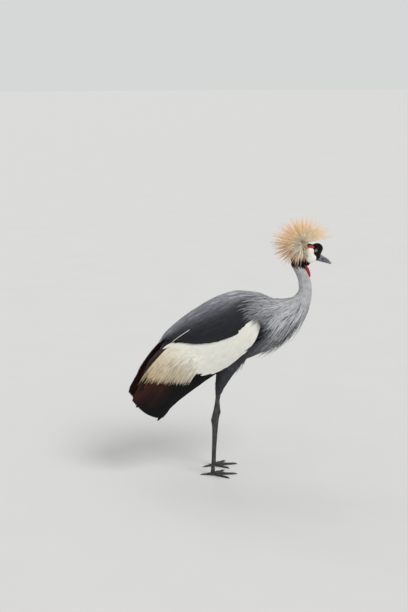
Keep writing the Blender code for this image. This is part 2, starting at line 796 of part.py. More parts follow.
def mirrored(centre, side):
    return Vector((centre[0], side * abs(centre[1]), centre[2]))


def lid(side):
    """The ring of bare skin round the eye."""
    centre = mirrored(EYE, side) + Vector((0.0008, side * 0.0035, 0))
    major, minor = LID_RING
    bpy.ops.mesh.primitive_torus_add(
        major_radius=major, minor_radius=minor, major_segments=12, minor_segments=4, location=centre
    )
    ring = bpy.context.object
    ring.rotation_euler = (math.pi / 2, 0, side * -0.30)
    bpy.context.view_layer.update()
    ring.data.transform(ring.matrix_world)
    ring.matrix_world = Matrix.Identity(4)
    return ring


def face_rooms(grow):
    """Cutters for the sockets of eyes, cheeks, brows and bill."""
    rooms = [mandible(f"{part}_room", part, "bill", grow) for part in ("upper", "lower")]
    for side in (RIGHT, LEFT):
        rooms.append(ellipsoid("eye_room", mirrored(EYE, side), [EYE_RADIUS] * 3, "eye", 12, 7, grow=grow))
        for centre, radii in CHEEK_LOBES:
            place = mirrored(centre, side)
            rooms.append(ellipsoid("cheek_room", place, radii, "bare_white", 12, 6, grow=grow))
        centre, radii = BROW_LOBE
        rooms.append(ellipsoid("brow_room", mirrored(centre, side), radii, "bare_red", 10, 6, grow=grow))
    return rooms


def make_head():
    """Skull with throat, velvet forehead and lids, cut for what sits in it."""
    core = loft("head", head_rings(), "black")
    pieces = [
        throat("throat", "black"),
        ellipsoid("pouch", *POUCH, "black", 12, 8),
        ellipsoid("forehead", *FOREHEAD, "black", 12, 8),
    ]
    pieces += [lid(side) for side in (RIGHT, LEFT)]
    neck_room = spine_solid("neck_room", NECK_SPLIT, NECK_END, 6, 16, "grey", grow=SEAM * 1.4)
    return fuse(core, pieces, [neck_room, *face_rooms(SEAM)])


def make_face():
    """Eyes, cheeks, brows and bill."""
    for side in (RIGHT, LEFT):
        ellipsoid(f"eye_{name_of(side)}", mirrored(EYE, side), [EYE_RADIUS] * 3, "eye", 12, 7)
        upper, lower = (
            ellipsoid(f"cheek_{name_of(side)}", mirrored(centre, side), radii, "bare_white", 12, 6)
            for centre, radii in CHEEK_LOBES
        )
        centre, radii = BROW_LOBE
        brow_place = mirrored(centre, side)
        brow_room = ellipsoid("brow_room", brow_place, radii, "bare_red", 10, 6, grow=SEAM)
        upper.name = f"cheek_{name_of(side)}"
        eye_room = ellipsoid("eye_room", mirrored(EYE, side), [EYE_RADIUS + 0.0024] * 3, "eye", 10, 6)
        fuse(upper, [lower], [brow_room, eye_room])
        ellipsoid(f"brow_{name_of(side)}", brow_place, radii, "bare_red", 10, 6)
    beak = mandible("bill_upper", "upper", "bill")
    centre, radii = NOSTRIL
    nostrils = [ellipsoid("nostril", mirrored(centre, side), radii, "bill", 8, 6) for side in (RIGHT, LEFT)]
    fuse(beak, cutters=nostrils)
    mandible("bill_lower", "lower", "bill")


def clear_of_head(point):
    """Whether a bristle may pass through the point: outside the head, the forehead and the neck."""
    ellipsoids = (
        ((0.345, 0.0, 0.788), (0.051, 0.031, 0.040)),
        ((0.379, 0.0, 0.8025), (0.027, 0.022, 0.025)),
        ((0.312, 0.0, 0.748), (0.031, 0.027, 0.050)),
    )
    for centre, radii in ellipsoids:
        offset = point - Vector(centre)
        if sum((offset[i] / radii[i]) ** 2 for i in range(3)) < 1:
            return False
    return True


def bristle(start, end, radius):
    """A stiff bristle of three sides that thins to its end."""
    bm = bmesh.new()
    ahead = (end - start).normalized()
    across = ahead.orthogonal().normalized()
    other = ahead.cross(across)
    corners = [across * math.cos(t) + other * math.sin(t) for t in (0, 2 * math.pi / 3, 4 * math.pi / 3)]
    low = [bm.verts.new(start + corner * radius) for corner in corners]
    high = [bm.verts.new(end + corner * radius * 0.3) for corner in corners]
    bm.faces.new(low)
    bm.faces.new(high)
    for k in range(3):
        n = (k + 1) % 3
        bm.faces.new((low[k], low[n], high[n]))
        bm.faces.new((low[k], high[n], high[k]))
    return finished(bm, "bristle", "crest")


def make_crest():
    """The golden crown: a skin patch on the hind crown and stiff bristles all round it."""
    centre, radii = CREST_SKIN
    core = ellipsoid("crest", centre, radii, "crest", 14, 8)
    draw = random.Random(5)
    bristles = []
    for k in range(BRISTLES):
        height = 1 - 2 * (k + 0.5) / BRISTLES
        turn = k * math.pi * (3 - math.sqrt(5))
        flat = math.sqrt(1 - height * height)
        aim = Vector((flat * math.cos(turn), flat * math.sin(turn), height))
        out = CREST_FOCUS - centre
        a = sum((aim[i] / radii[i]) ** 2 for i in range(3))
        b = sum(aim[i] * out[i] / radii[i] ** 2 for i in range(3))
        c = sum((out[i] / radii[i]) ** 2 for i in range(3)) - 1
        exit_at = (-b + math.sqrt(b * b - a * c)) / a
        length = CREST_LENGTH * (1 - 0.10 * abs(aim.y) - 0.20 * abs(aim.z)) * draw.uniform(0.92, 1.04)
        start = CREST_FOCUS + aim * (exit_at - 0.0045)
        end = CREST_FOCUS + aim * length
        shares = (0.05, 0.15, 0.3, 0.5, 0.75, 1.0)
        samples = [CREST_FOCUS + aim * (exit_at + (length - exit_at) * share) for share in shares]
        if all(clear_of_head(sample) for sample in samples):
            bristles.append(bristle(start, end, 0.00115))
    head_room = loft("head_room", head_rings(SEAM * 1.6), "black")
    forehead_room = ellipsoid("forehead_room", *FOREHEAD, "black", 12, 8, grow=SEAM * 1.6)
    rooms = [head_room, forehead_room]
    for side in (RIGHT, LEFT):
        centre, radii = BROW_LOBE
        rooms.append(ellipsoid("brow_room", mirrored(centre, side), radii, "bare_red", 10, 6, grow=SEAM))
    return fuse(core, bristles, rooms)


def make_wattle():
    """The red throat wattle: two folds that hang along the front of the neck."""
    folds = []
    for side in (RIGHT, LEFT):
        path = [(Vector((x, side * off, z)), wide, deep) for x, off, z, wide, deep in WATTLE]
        folds.append(tube("wattle", path, 8, "bare_red"))
    rooms = [
        spine_solid("neck_room", NECK_SPLIT, NECK_END, 6, 16, "grey", grow=SEAM * 1.4),
        loft("head_room", head_rings(SEAM * 1.6), "black"),
        throat("throat_room", "black", grow=SEAM * 1.6),
        ellipsoid("pouch_room", *POUCH, "black", 12, 8, grow=SEAM * 1.6),
    ]
    return fuse(folds[0], [folds[1]], rooms)


def leg_joints(side):
    """The leg's joints from the hip down, with the left leg a step ahead."""
    places = (THIGH_TOP, THIGH_END, HOCK, ANKLE)
    steps = LEFT_STEP if side == LEFT else (0.0,) * len(places)
    return [mirrored(place, side) + Vector((ahead, 0, 0)) for place, ahead in zip(places, steps)]


def between(start, end, sizes):
    """Stations of a tube from start to end for (share, width, depth)."""
    return [(start + (end - start) * share, *rest) for share, *rest in sizes]


def make_leg(side):
    """Thigh, shank, tarsus, foot and claws of one leg."""
    word = name_of(side)
    hip, knee, hock, ankle = leg_joints(side)
    down = Vector((0, 0, -1))
    knee_cut = ((knee - hip).normalized() + (hock - knee).normalized()).normalized()
    hock_cut = ((hock - knee).normalized() + (ankle - hock).normalized()).normalized()
    ankle_cut = ((ankle - hock).normalized() + down).normalized()
    thigh = tube(f"thigh_{word}", between(hip, knee, THIGH_SIZES), 14, "slate", ends=(None, knee_cut))
    fuse(thigh, cutters=[grown_torso()])
    shank = between(knee + knee_cut * SEAM, hock, SHANK_SIZES)
    tube(f"shank_{word}", shank, 10, "leg", ends=(knee_cut, hock_cut))
    tarsus = between(hock + hock_cut * SEAM, ankle, TARSUS_SIZES)
    tube(f"tarsus_{word}", tarsus, 10, "leg", ends=(hock_cut, ankle_cut))
    pad = between(ankle + ankle_cut * SEAM, Vector((ankle.x, ankle.y, PAD_LEVEL)), PAD_SIZES)
    foot = tube(f"foot_{word}", pad, 12, "leg", ends=(ankle_cut, down))
    toes = []
    for name, turn, length, radius, claw in TOES:
        turn = math.radians(turn) * side
        aim = Vector((math.cos(turn), math.sin(turn), 0))
        start = Vector((ankle.x, ankle.y, 0))
        path = []
        for share, size in TOE_SHAPE:
            level = size if share < 0.8 else TOE_SHAPE[-2][1]
            rise = TOE_RISE * (1 - share) ** 4 if share < 0.8 else 0.0
            centre = start + aim * length * share + Vector((0, 0, radius * TOE_HEIGHT * level + rise))
            path.append((centre, radius * size, radius * size))
        toes.append(tube("toe", path, 7, "leg", floor=True))
        root = start + aim * (length + SEAM)
        nail = []
        for share, size, high in NAIL_SHAPE:
            centre = root + aim * claw * share + Vector((0, 0, radius * high))
            nail.append((centre, radius * size, radius * size))
        tube(f"claw_{name}_{word}", nail, 6, "claw", floor=True)
    fuse(foot, toes)


def gather():
    """Puts every node in one collection, shaded smooth, with the origin under the box's middle."""
    crane = bpy.data.collections.new("grey_crowned_crane")
    bpy.context.scene.collection.children.link(crane)
    nodes = [obj for obj in bpy.context.scene.collection.objects if obj.type == "MESH"]
    corners = np.array([obj.matrix_world @ v.co for obj in nodes for v in obj.data.vertices])
    low, high = corners.min(axis=0), corners.max(axis=0)
    shift = Matrix.Translation((-(low[0] + high[0]) / 2, -(low[1] + high[1]) / 2, 0))
    for obj in nodes:
        obj.matrix_world = shift @ obj.matrix_world
        obj.data.shade_smooth()
        obj.data.set_sharp_from_angle(angle=math.radians(40))
        bpy.context.scene.collection.objects.unlink(obj)
        crane.objects.link(obj)


def main():
    for obj in list(bpy.data.objects):
        bpy.data.objects.remove(obj)
    make_torso()
    make_neck()
    make_head()
    make_face()
    make_crest()
    make_wattle()
    make_wings()
    for side in (RIGHT, LEFT):
        make_leg(side)
    make_tail()
    gather()


main()
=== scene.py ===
"""Looks of a grey crowned crane that stands at rest, life size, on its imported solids.

The tables below repeat the named sizes of the solids: the spine's and the flank's stations, the
head's, bill's and legs' sizes. One skin is fused from the forms of flesh, and the plumage is set
over it, kind by kind, as joined meshes of thin feathers that follow the lie of the coat.
"""

import logging
import math
from dataclasses import dataclass
from enum import Enum
from typing import Callable, Iterable, Iterator, Sequence

import bmesh
import bpy
import numpy as np
from mathutils import Matrix, Vector
from mathutils.bvhtree import BVHTree

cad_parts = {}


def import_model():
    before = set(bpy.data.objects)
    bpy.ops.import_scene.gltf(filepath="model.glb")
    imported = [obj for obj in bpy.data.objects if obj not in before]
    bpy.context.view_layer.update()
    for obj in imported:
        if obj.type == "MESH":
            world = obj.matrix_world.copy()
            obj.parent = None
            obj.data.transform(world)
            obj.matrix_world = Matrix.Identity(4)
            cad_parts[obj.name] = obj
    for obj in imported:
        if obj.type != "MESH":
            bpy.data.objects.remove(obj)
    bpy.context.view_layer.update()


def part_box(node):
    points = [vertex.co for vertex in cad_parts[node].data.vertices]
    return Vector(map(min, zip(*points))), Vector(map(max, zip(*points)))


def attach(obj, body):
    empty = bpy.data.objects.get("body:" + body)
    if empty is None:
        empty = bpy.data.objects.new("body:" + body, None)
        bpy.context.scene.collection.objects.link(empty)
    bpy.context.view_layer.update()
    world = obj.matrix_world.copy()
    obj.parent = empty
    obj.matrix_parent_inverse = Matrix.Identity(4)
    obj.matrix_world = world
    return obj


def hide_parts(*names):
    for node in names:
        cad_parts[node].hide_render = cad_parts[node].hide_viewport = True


LOG = logging.getLogger("crane")
BODY = "root"
Array = np.ndarray
BMesh = bmesh.types.BMesh
Lobe = Sequence[Sequence[float]]
Material = bpy.types.Material
Object = bpy.types.Object
Rule = Callable[[Array], Array]
Socket = bpy.types.NodeSocket
Triple = tuple[float, float, float]
Tube = Callable[[Array, Array], Array]

# Side of each feather's patch in OFBake, how soon a vane reaches its full thickness, the angle
# from which an edge is sharp, and what tells the cells of a strewn skin apart.
PATCH = 0.003
EDGE_SWELL = 2.2
SHARP_EDGE = math.radians(50)
CELL_PRIMES = (73856093, 19349663, 83492791)

# Spine stations: x, z, half width, reach to the back, reach to the belly.
SPINE = (
    (-0.175, 0.440, 0.022, 0.022, 0.022),
    (-0.130, 0.458, 0.045, 0.050, 0.045),
    (-0.060, 0.480, 0.068, 0.086, 0.080),
    (0.020, 0.500, 0.082, 0.116, 0.098),
    (0.100, 0.520, 0.087, 0.121, 0.100),
    (0.170, 0.535, 0.081, 0.109, 0.090),
    (0.230, 0.552, 0.064, 0.080, 0.074),
    (0.280, 0.575, 0.046, 0.055, 0.055),
    (0.318, 0.605, 0.031, 0.036, 0.0385),
    (0.3375, 0.645, 0.0235, 0.0250, 0.0250),
    (0.3355, 0.685, 0.0205, 0.0218, 0.0218),
    (0.3215, 0.720, 0.0190, 0.0190, 0.0190),
    (0.3055, 0.750, 0.0190, 0.0200, 0.0190),
)
NECK_END = 12.0

# Flank stations of the folded wings' outline: x, top, widest line, bottom, half width.
FLANK = (
    (0.240, 0.628, 0.565, 0.525, 0.066),
    (0.180, 0.642, 0.550, 0.485, 0.094),
    (0.130, 0.650, 0.535, 0.440, 0.108),
    (0.080, 0.652, 0.520, 0.405, 0.113),
    (0.020, 0.634, 0.500, 0.380, 0.114),
    (-0.050, 0.597, 0.475, 0.345, 0.110),
    (-0.100, 0.564, 0.455, 0.325, 0.104),
    (-0.150, 0.523, 0.430, 0.290, 0.097),
    (-0.200, 0.468, 0.390, 0.205, 0.088),
    (-0.245, 0.405, 0.350, 0.205, 0.078),
    (-0.275, 0.350, 0.315, 0.225, 0.068),
    (-0.300, 0.300, 0.285, 0.250, 0.058),
)
# How far the outline turns in below its widest line, between which lengths the mantle's plumes
# come out over the wings, and how high they lie there.
FLANK_TUCK = 0.25
CLOAK_FRONT, CLOAK_REAR = 0.235, 0.170
CLOAK_HEIGHT = 0.004

# Skull stations from the nape to the face: x, z, half width, reach up, reach down.
HEAD_AXIS = (
    (0.297, 0.797, 0.010, 0.012, 0.012),
    (0.306, 0.797, 0.020, 0.021, 0.023),
    (0.324, 0.794, 0.0255, 0.030, 0.034),
    (0.344, 0.789, 0.0265, 0.033, 0.037),
    (0.364, 0.784, 0.0235, 0.031, 0.031),
    (0.378, 0.778, 0.0165, 0.024, 0.022),
    (0.389, 0.7725, 0.0100, 0.0155, 0.0120),
)
FOREHEAD = ((0.379, 0.0, 0.8025), (0.0220, 0.0165, 0.0200))
POUCH = ((0.341, 0.0, 0.760), (0.0165, 0.0135, 0.0190))
# Throat stations from the top of the neck into the skull: x, z, half width, half depth.
THROAT = (
    (0.308, 0.766, 0.0205, 0.0215),
    (0.322, 0.784, 0.0200, 0.0240),
)
CREST_FOCUS = (0.327, 0.0, 0.824)
CREST_SKIN = ((0.318, 0.0, 0.811), (0.026, 0.0225, 0.0245))
CREST_LENGTH = 0.118
# What no bristle passes through: skull, forehead and the top of the neck.
CREST_BLOCKS = (
    ((0.345, 0.0, 0.788), (0.049, 0.029, 0.039)),
    ((0.379, 0.0, 0.8025), (0.025, 0.020, 0.023)),
    ((0.312, 0.0, 0.748), (0.029, 0.025, 0.050)),
)
EYE = (0.370, 0.0155, 0.799)
EYE_RADIUS = 0.0068
CORNEA_RADIUS = 0.0042
LID_OPENING = (0.0056, 0.0047)
CHEEK_LOBES = (
    ((0.348, 0.0205, 0.7945), (0.0155, 0.0075, 0.0165)),
    ((0.3535, 0.0195, 0.7715), (0.0185, 0.0080, 0.0170)),
)
CHEEK_WAIST = ((0.3510, 0.0200, 0.7825), (0.0150, 0.0076, 0.0120))
BROW_LOBE = ((0.3495, 0.0185, 0.8105), (0.0150, 0.0055, 0.0075))
BILL_BASE = (0.376, 0.0, 0.7715)
BILL_TIP = (0.4335, 0.0, 0.7475)
BILL_SAG = 0.0022
BILL_SLOPE = math.atan2(BILL_BASE[2] - BILL_TIP[2], BILL_TIP[0] - BILL_BASE[0])
NOSTRIL = (0.3997, 0.0, 0.7657)
NOSTRIL_HALF_SIZES = (0.0056, 0.0019)
# Bill stations: share of the length, half width, upper depth, lower depth.
BILL_STATIONS = (
    (0.00, 0.0092, 0.0160, 0.0105),
    (0.25, 0.0084, 0.0150, 0.0088),
    (0.50, 0.0066, 0.0130, 0.0066),
    (0.75, 0.0044, 0.0098, 0.0042),
    (0.92, 0.0023, 0.0052, 0.0020),
    (1.00, 0.0009, 0.0014, 0.0006),
)
# One fold of the wattle: x, distance from the middle, z, half width, half depth.
WATTLE = (
    (0.3355, 0.0030, 0.7470, 0.0036, 0.0042),
    (0.3392, 0.0036, 0.7390, 0.0044, 0.0050),
    (0.3450, 0.0040, 0.7285, 0.0050, 0.0056),
    (0.3492, 0.0040, 0.7180, 0.0046, 0.0052),
    (0.3526, 0.0036, 0.7085, 0.0034, 0.0038),
    (0.3545, 0.0030, 0.7020, 0.0013, 0.0015),
)

# The right leg's joints, how far the left ones stand ahead, and the sizes of each length of leg:
# share of the length, half width, half depth.
THIGH_TOP = (0.072, 0.043, 0.462)
THIGH_END = (0.016, 0.047, 0.300)
HOCK = (0.001, 0.049, 0.212)
ANKLE = (-0.004, 0.050, 0.020)
LEFT_STEP = (0.004, 0.014, 0.030, 0.022)
THIGH_SIZES = (
    (0.00, 0.024, 0.050),
    (0.30, 0.023, 0.040),
    (0.60, 0.016, 0.024),
    (0.85, 0.010, 0.013),
    (1.00, 0.0082, 0.0098),
)
SHANK_SIZES = (
    (0.00, 0.0070, 0.0085),
    (0.50, 0.0062, 0.0072),
    (0.85, 0.0072, 0.0088),
    (1.00, 0.0082, 0.0100),
)
TARSUS_SIZES = (
    (0.00, 0.0082, 0.0105),
    (0.05, 0.0080, 0.0115),
    (0.13, 0.0060, 0.0082),
    (0.30, 0.0048, 0.0060),
    (0.75, 0.0047, 0.0056),
    (0.93, 0.0062, 0.0066),
    (1.00, 0.0072, 0.0072),
)
PAD_SIZES = (
    (0.00, 0.0072, 0.0072),
    (0.50, 0.0085, 0.0088),
    (1.00, 0.0095, 0.0100),
)
# Toes: name, turn from straight ahead in degrees, length, radius, length of the claw.
TOES = (
    ("middle", 3, 0.074, 0.0052, 0.014),
    ("outer", 42, 0.058, 0.0048, 0.012),
    ("inner", -40, 0.054, 0.0048, 0.012),
    ("hind", 194, 0.032, 0.0045, 0.014),
)
# Shares of the toe's length and radius, then of the claw's length with radius and height in toe radii.
TOE_SIZES = ((0.0, 1.15), (0.25, 0.92), (0.45, 1.08), (0.65, 0.84), (0.86, 0.74), (1.0, 0.70))
CLAW_SIZES = (
    (0.00, 0.62, 0.64),
    (0.14, 0.60, 0.64),
    (0.45, 0.48, 0.54),
    (0.75, 0.30, 0.36),
    (1.00, 0.10, 0.14),
)
# Gap between neighbouring pieces of horn and leg.
SEAM = 0.00035

# The folded arm: x, top, bottom, depth of its outer and inner face in the outline.
ARM = (
    (0.163, 0.566, 0.540, 0.007, 0.012),
    (0.140, 0.580, 0.508, 0.007, 0.022),
    (0.095, 0.566, 0.462, 0.007, 0.030),
    (0.045, 0.545, 0.424, 0.007, 0.022),
    (-0.010, 0.528, 0.400, 0.007, 0.015),
    (-0.060, 0.518, 0.396, 0.007, 0.014),
    (-0.110, 0.514, 0.402, 0.007, 0.013),
    (-0.150, 0.504, 0.418, 0.007, 0.012),
)

# Edges seen from the side, x and z from the front to the rear: tips of the lowest and of the
# highest scapulars, upper and lower edge of the white band.
SCAPULAR_LOW = (
    (0.110, 0.612), (0.076, 0.566), (0.034, 0.528), (-0.025, 0.506),
    (-0.080, 0.500), (-0.128, 0.503), (-0.170, 0.500),
)
SCAPULAR_HIGH = (
    (0.100, 0.640), (0.055, 0.634), (0.010, 0.618), (-0.040, 0.592),
    (-0.090, 0.562), (-0.140, 0.524), (-0.188, 0.473),
)
BAND_TOP = (
    (0.138, 0.592), (0.096, 0.574), (0.056, 0.540), (0.000, 0.515),
    (-0.050, 0.502), (-0.098, 0.500), (-0.140, 0.505),
)
BAND_BOTTOM = (
    (0.156, 0.545), (0.130, 0.500), (0.093, 0.457), (0.055, 0.421),
    (0.005, 0.396), (-0.045, 0.394), (-0.095, 0.394),
)

# Fine white streaks over the rear scapulars: x and z of root and tip.
STREAKS = (
    (-0.090, 0.5440, -0.166, 0.5010),
    (-0.104, 0.5340, -0.160, 0.5025),
)

# Front, middle and rear tertial: x, place on the flank and depth, first of the roots, then of the tips.
TERTIALS = (
    ((-0.112, 0.70, 0.0080), (-0.118, 0.86, 0.0092), (-0.124, 1.02, 0.0104)),
    ((-0.236, 0.24, 0.0008), (-0.262, 0.46, 0.0024), (-0.280, 0.70, 0.0040)),
)


class Side(Enum):
    """The bird's right or left side, as the sign of Y."""

    RIGHT = -1
    LEFT = 1

    @property
    def word(self) -> str:
        """The side in the names of nodes and pieces."""
        return self.name.lower()

    def mirrored(self, place: Sequence[float]) -> Array:
        """A place of the left side, on this side."""
        return np.array((place[0], self.value * place[1], place[2]))


# Numbers

def smooth(rows: Sequence[Sequence[float]], places: Array | float) -> Array:
    """Rows of a table of stations at fractional places, on a Catmull-Rom curve.

    Args:
        rows: The table.
        places: Where to read it, 0 being its first row.

    Returns:
        One row for each place.
    """
    table = np.asarray(rows, float)
    places = np.atleast_1d(np.asarray(places, float))
    low = np.clip(np.floor(places).astype(int), 0, len(table) - 2)
    f = (places - low)[:, None]
    p0, p1, p2, p3 = (table[np.clip(low + k, 0, len(table) - 1)] for k in (-1, 0, 1, 2))
    return 0.5 * (
        2 * p1 + (p2 - p0) * f + (2 * p0 - 5 * p1 + 4 * p2 - p3) * f**2 + (3 * p1 - p0 - 3 * p2 + p3) * f**3
    )


def run_along(rows: Sequence[Sequence[float]], places: Array) -> Array:
    """Directions in which a table of stations runs at fractional places."""
    return unit(smooth(rows, places + 0.4) - smooth(rows, places - 0.4))


def place_of(rows: Sequence[Sequence[float]], x: Array) -> Array:
    """Places along a table, whose first column falls or rises steadily, where it is x."""
    places = np.linspace(0, len(rows) - 1, 1200)
    found = smooth(rows, places)[:, 0]
    if found[-1] < found[0]:
        return np.interp(x, found[::-1], places[::-1])
    return np.interp(x, found, places)


def powered(value: Array, power: float) -> Array:
    """The value to a power, with its sign kept."""
    return np.sign(value) * np.abs(value) ** power


def unit(vectors: Array) -> Array:
    """The vectors at length 1."""
    return vectors / np.maximum(np.linalg.norm(vectors, axis=-1, keepdims=True), 1e-12)


def step(value: Array, low: float, high: float) -> Array:
    """A smooth step from 0 at low to 1 at high."""
    share = np.clip((value - low) / (high - low), 0, 1)
    return share * share * (3 - 2 * share)


def blend(first: Array, second: Array, share: Array) -> Array:
    """Colours between the first and the second."""
    share = np.asarray(share)[..., None]
    return np.asarray(first) * (1 - share) + np.asarray(second) * share


def reach(points: Array, lobe: Lobe) -> Array:
    """Squared distances from a lobe's centre, measured so that they are 1 on its surface."""
    centre, radii = lobe
    return np.sum(((points - np.array(centre)) / np.array(radii)) ** 2, axis=-1)


def spiral(count: int, start: float = 0.0) -> tuple[Array, Array, Array]:
    """Even directions over a sphere, with their turns and heights."""
    k = np.arange(count)
    height = 1 - 2 * (k + 0.5) / count
    turn = k * math.pi * (3 - math.sqrt(5)) + start
    flat = np.sqrt(1 - height * height)
    return np.stack((flat * np.cos(turn), flat * np.sin(turn), height), 1), turn, height


# Surfaces that feathers follow

@dataclass(frozen=True)
class Surface:
    """A smooth surface with two parameters, on one side of the bird."""

    side: Side = Side.RIGHT

    def point(self, u: Array, v: Array) -> Array:
        """Points at the parameters."""
        raise NotImplementedError

    def inside(self, u: Array) -> Array:
        """Points that lie well inside at u."""
        raise NotImplementedError

    def frame(self, u: Array, v: Array) -> tuple[Array, Array, Array, Array]:
        """Points, their two tangents and the outward normals."""
        d = 1e-3
        here = self.point(u, v)
        along = (self.point(u + d, v) - self.point(u - d, v)) / (2 * d)
        across = (self.point(u, v + d) - self.point(u, v - d)) / (2 * d)
        normal = unit(np.cross(along, across))
        outward = np.sum(normal * (here - self.inside(u)), axis=-1, keepdims=True)
        return here, along, across, np.where(outward < 0, -normal, normal)

    def walk(self, u: Array, v: Array, heading: Array, length: Array, steps: int) -> tuple[Array, Array]:
        """Paths that keep to a heading as far as the surface lets them.

        Args:
            u: First parameters of the starts.
            v: Second parameters of the starts.
            heading: Wanted directions.
            length: Lengths of the paths.
            steps: Stretches between the points that are given back.

        Returns:
            Points and normals with one row for each path.
        """
        fine = 3
        stride = (length / (steps * fine))[:, None]
        points, normals = [], []
        for k in range(steps * fine + 1):
            here, along, across, normal = self.frame(u, v)
            if k % fine == 0:
                points.append(here)
                normals.append(normal)
            go = heading - normal * np.sum(heading * normal, axis=-1, keepdims=True)
            go = unit(go) * stride
            a, b, c = (np.sum(p * q, axis=-1) for p, q in ((along, along), (along, across), (across, across)))
            p, q = np.sum(go * along, axis=-1), np.sum(go * across, axis=-1)
            spread = a * c - b * b
            u = u + (p * c - q * b) / spread
            v = v + (q * a - p * b) / spread
        return np.stack(points, 1), np.stack(normals, 1)


@dataclass(frozen=True)
class Spine(Surface):
    """Torso and neck. u is the place along the stations, v the angle from the back."""

    grow: float = 0.0
    roundness: float = 0.92

    def inside(self, u: Array) -> Array:
        """Points of the centre line."""
        rows = smooth(SPINE, u)
        return np.stack((rows[:, 0], np.zeros(len(rows)), rows[:, 1]), 1)

    def dorsal(self, u: Array) -> Array:
        """Directions from the centre line to the back."""
        ahead = unit(self.inside(np.asarray(u) + 0.01) - self.inside(np.asarray(u) - 0.01))
        return np.stack((-ahead[:, 2], np.zeros(len(ahead)), ahead[:, 0]), 1)

    def point(self, u: Array, v: Array) -> Array:
        """Points at the parameters."""
        rows = smooth(SPINE, u)[:, 2:] + self.grow
        high = np.where(np.cos(v) > 0, rows[:, 1], rows[:, 2])
        made = self.inside(u) + self.dorsal(u) * (high * powered(np.cos(v), self.roundness))[:, None]
        made[:, 1] += self.side.value * rows[:, 0] * powered(np.sin(v), self.roundness)
        return made


@dataclass(frozen=True)
class Flank(Surface):
    """Outline of the folded wings. v runs from 0 at the back over 1 at the widest line to 2."""

    squareness: float = 0.9

    def inside(self, u: Array) -> Array:
        """Points of the middle plane."""
        rows = smooth(FLANK, u)
        return np.stack((rows[:, 0], np.zeros(len(rows)), rows[:, 2]), 1)

    def point(self, u: Array, v: Array) -> Array:
        """Points at the parameters."""
        x, top, waist, bottom, half = smooth(FLANK, u).T
        turn = np.minimum(v, 1) * math.pi / 2
        under = np.maximum(v - 1, 0)
        out = half * powered(np.sin(turn), self.squareness) * (1 - FLANK_TUCK * under**2)
        height = waist + (top - waist) * powered(np.cos(turn), self.squareness) - (waist - bottom) * under
        return np.stack((x, self.side.value * out, height), 1)

    def place(self, x: Array, z: Array) -> tuple[Array, Array]:
        """Parameters of the surface's points at those lengths and heights."""
        u = place_of(FLANK, x)
        _, top, waist, bottom, _ = smooth(FLANK, u).T
        share = np.clip((z - waist) / (top - waist), 0, 1)
        upper = np.arccos(share ** (1 / self.squareness)) * 2 / math.pi
        return u, np.where(z < waist, 1 + (waist - z) / (waist - bottom), upper)


# Meshes

class Grove:
    """The shift from the sizes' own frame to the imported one, and how pieces are shown."""

    shift = Vector((0.0, 0.0, 0.0))

    @classmethod
    def measure(cls) -> None:
        """Finds the shift from the right eye's place."""
        low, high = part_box("eye_right")
        cls.shift = (low + high) / 2 - Vector(Side.RIGHT.mirrored(EYE))

    @classmethod
    def show(cls, obj: Object, slot: str, finish: Material, *nodes: str) -> None:
        """Puts a piece in its place with its finish, in the stead of the named nodes."""
        obj.data.transform(Matrix.Translation(cls.shift))
        obj.data.materials.clear()
        obj.data.materials.append(finish)
        bpy.context.scene.collection.objects.link(obj)
        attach(obj, BODY)
        if nodes:
            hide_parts(*nodes)
        obj.data.calc_loop_triangles()
        LOG.info("%s: %d triangles", obj.name, len(obj.data.loop_triangles))


def object_of(bm: BMesh, name: str) -> Object:
    """The bmesh as an object with its faces out, shaded smooth."""
    bmesh.ops.recalc_face_normals(bm, faces=bm.faces)
    mesh = bpy.data.meshes.new(name)
    bm.to_mesh(mesh)
    bm.free()
    mesh.shade_smooth()
    return bpy.data.objects.new(name, mesh)


def joined(forms: Iterable[BMesh], name: str) -> Object:
    """Several forms as one object."""
    whole = bmesh.new()
    for form in forms:
        part = bpy.data.meshes.new("part")
        form.to_mesh(part)
        form.free()
        whole.from_mesh(part)
        bpy.data.meshes.remove(part)
    return object_of(whole, name)


def fused(forms: Iterable[BMesh], name: str, voxel: float, relax: int) -> Object:
    """Several forms as one closed mesh without seams.

    Args:
        forms: Closed forms that run into one another.
        name: Name of the object.
        voxel: Size of the mesh's cells.
        relax: How often the mesh is smoothed.
    """
    rough = joined(forms, f"{name}_form")
    bpy.context.scene.collection.objects.link(rough)
    remesh = rough.modifiers.new("Fuse", "REMESH")
    remesh.mode = "VOXEL"
    remesh.voxel_size = voxel
    rough.modifiers.new("Relax", "SMOOTH").iterations = relax
    graph = bpy.context.evaluated_depsgraph_get()
    mesh = bpy.data.meshes.new_from_object(rough.evaluated_get(graph), depsgraph=graph)
    bpy.data.objects.remove(rough)
    mesh.name = name
    mesh.shade_smooth()
    return bpy.data.objects.new(name, mesh)


def wrapped(around: int, along: int, point_of: Tube, ring: bool = False) -> BMesh:
    """A closed tube: a flat grid laid on to a surface, its seam merged and its ends filled.

    Args:
        around: Faces round the tube.
        along: Faces along it.
        point_of: Points for shares of a turn and shares of the length.
        ring: Whether the tube's ends meet.
    """
    bm = bmesh.new()
    bmesh.ops.create_grid(bm, x_segments=around, y_segments=along, size=0.5)
    flat = np.array([vert.co[:2] for vert in bm.verts]) + 0.5
    flat = np.where((flat > 1 - 1e-5) & (True, ring), 0.0, flat)
    for vert, place in zip(bm.verts, point_of(flat[:, 0], flat[:, 1])):
        vert.co = place
    bmesh.ops.remove_doubles(bm, verts=bm.verts, dist=1e-7)
    bmesh.ops.holes_fill(bm, edges=[edge for edge in bm.edges if edge.is_boundary])
    return bm


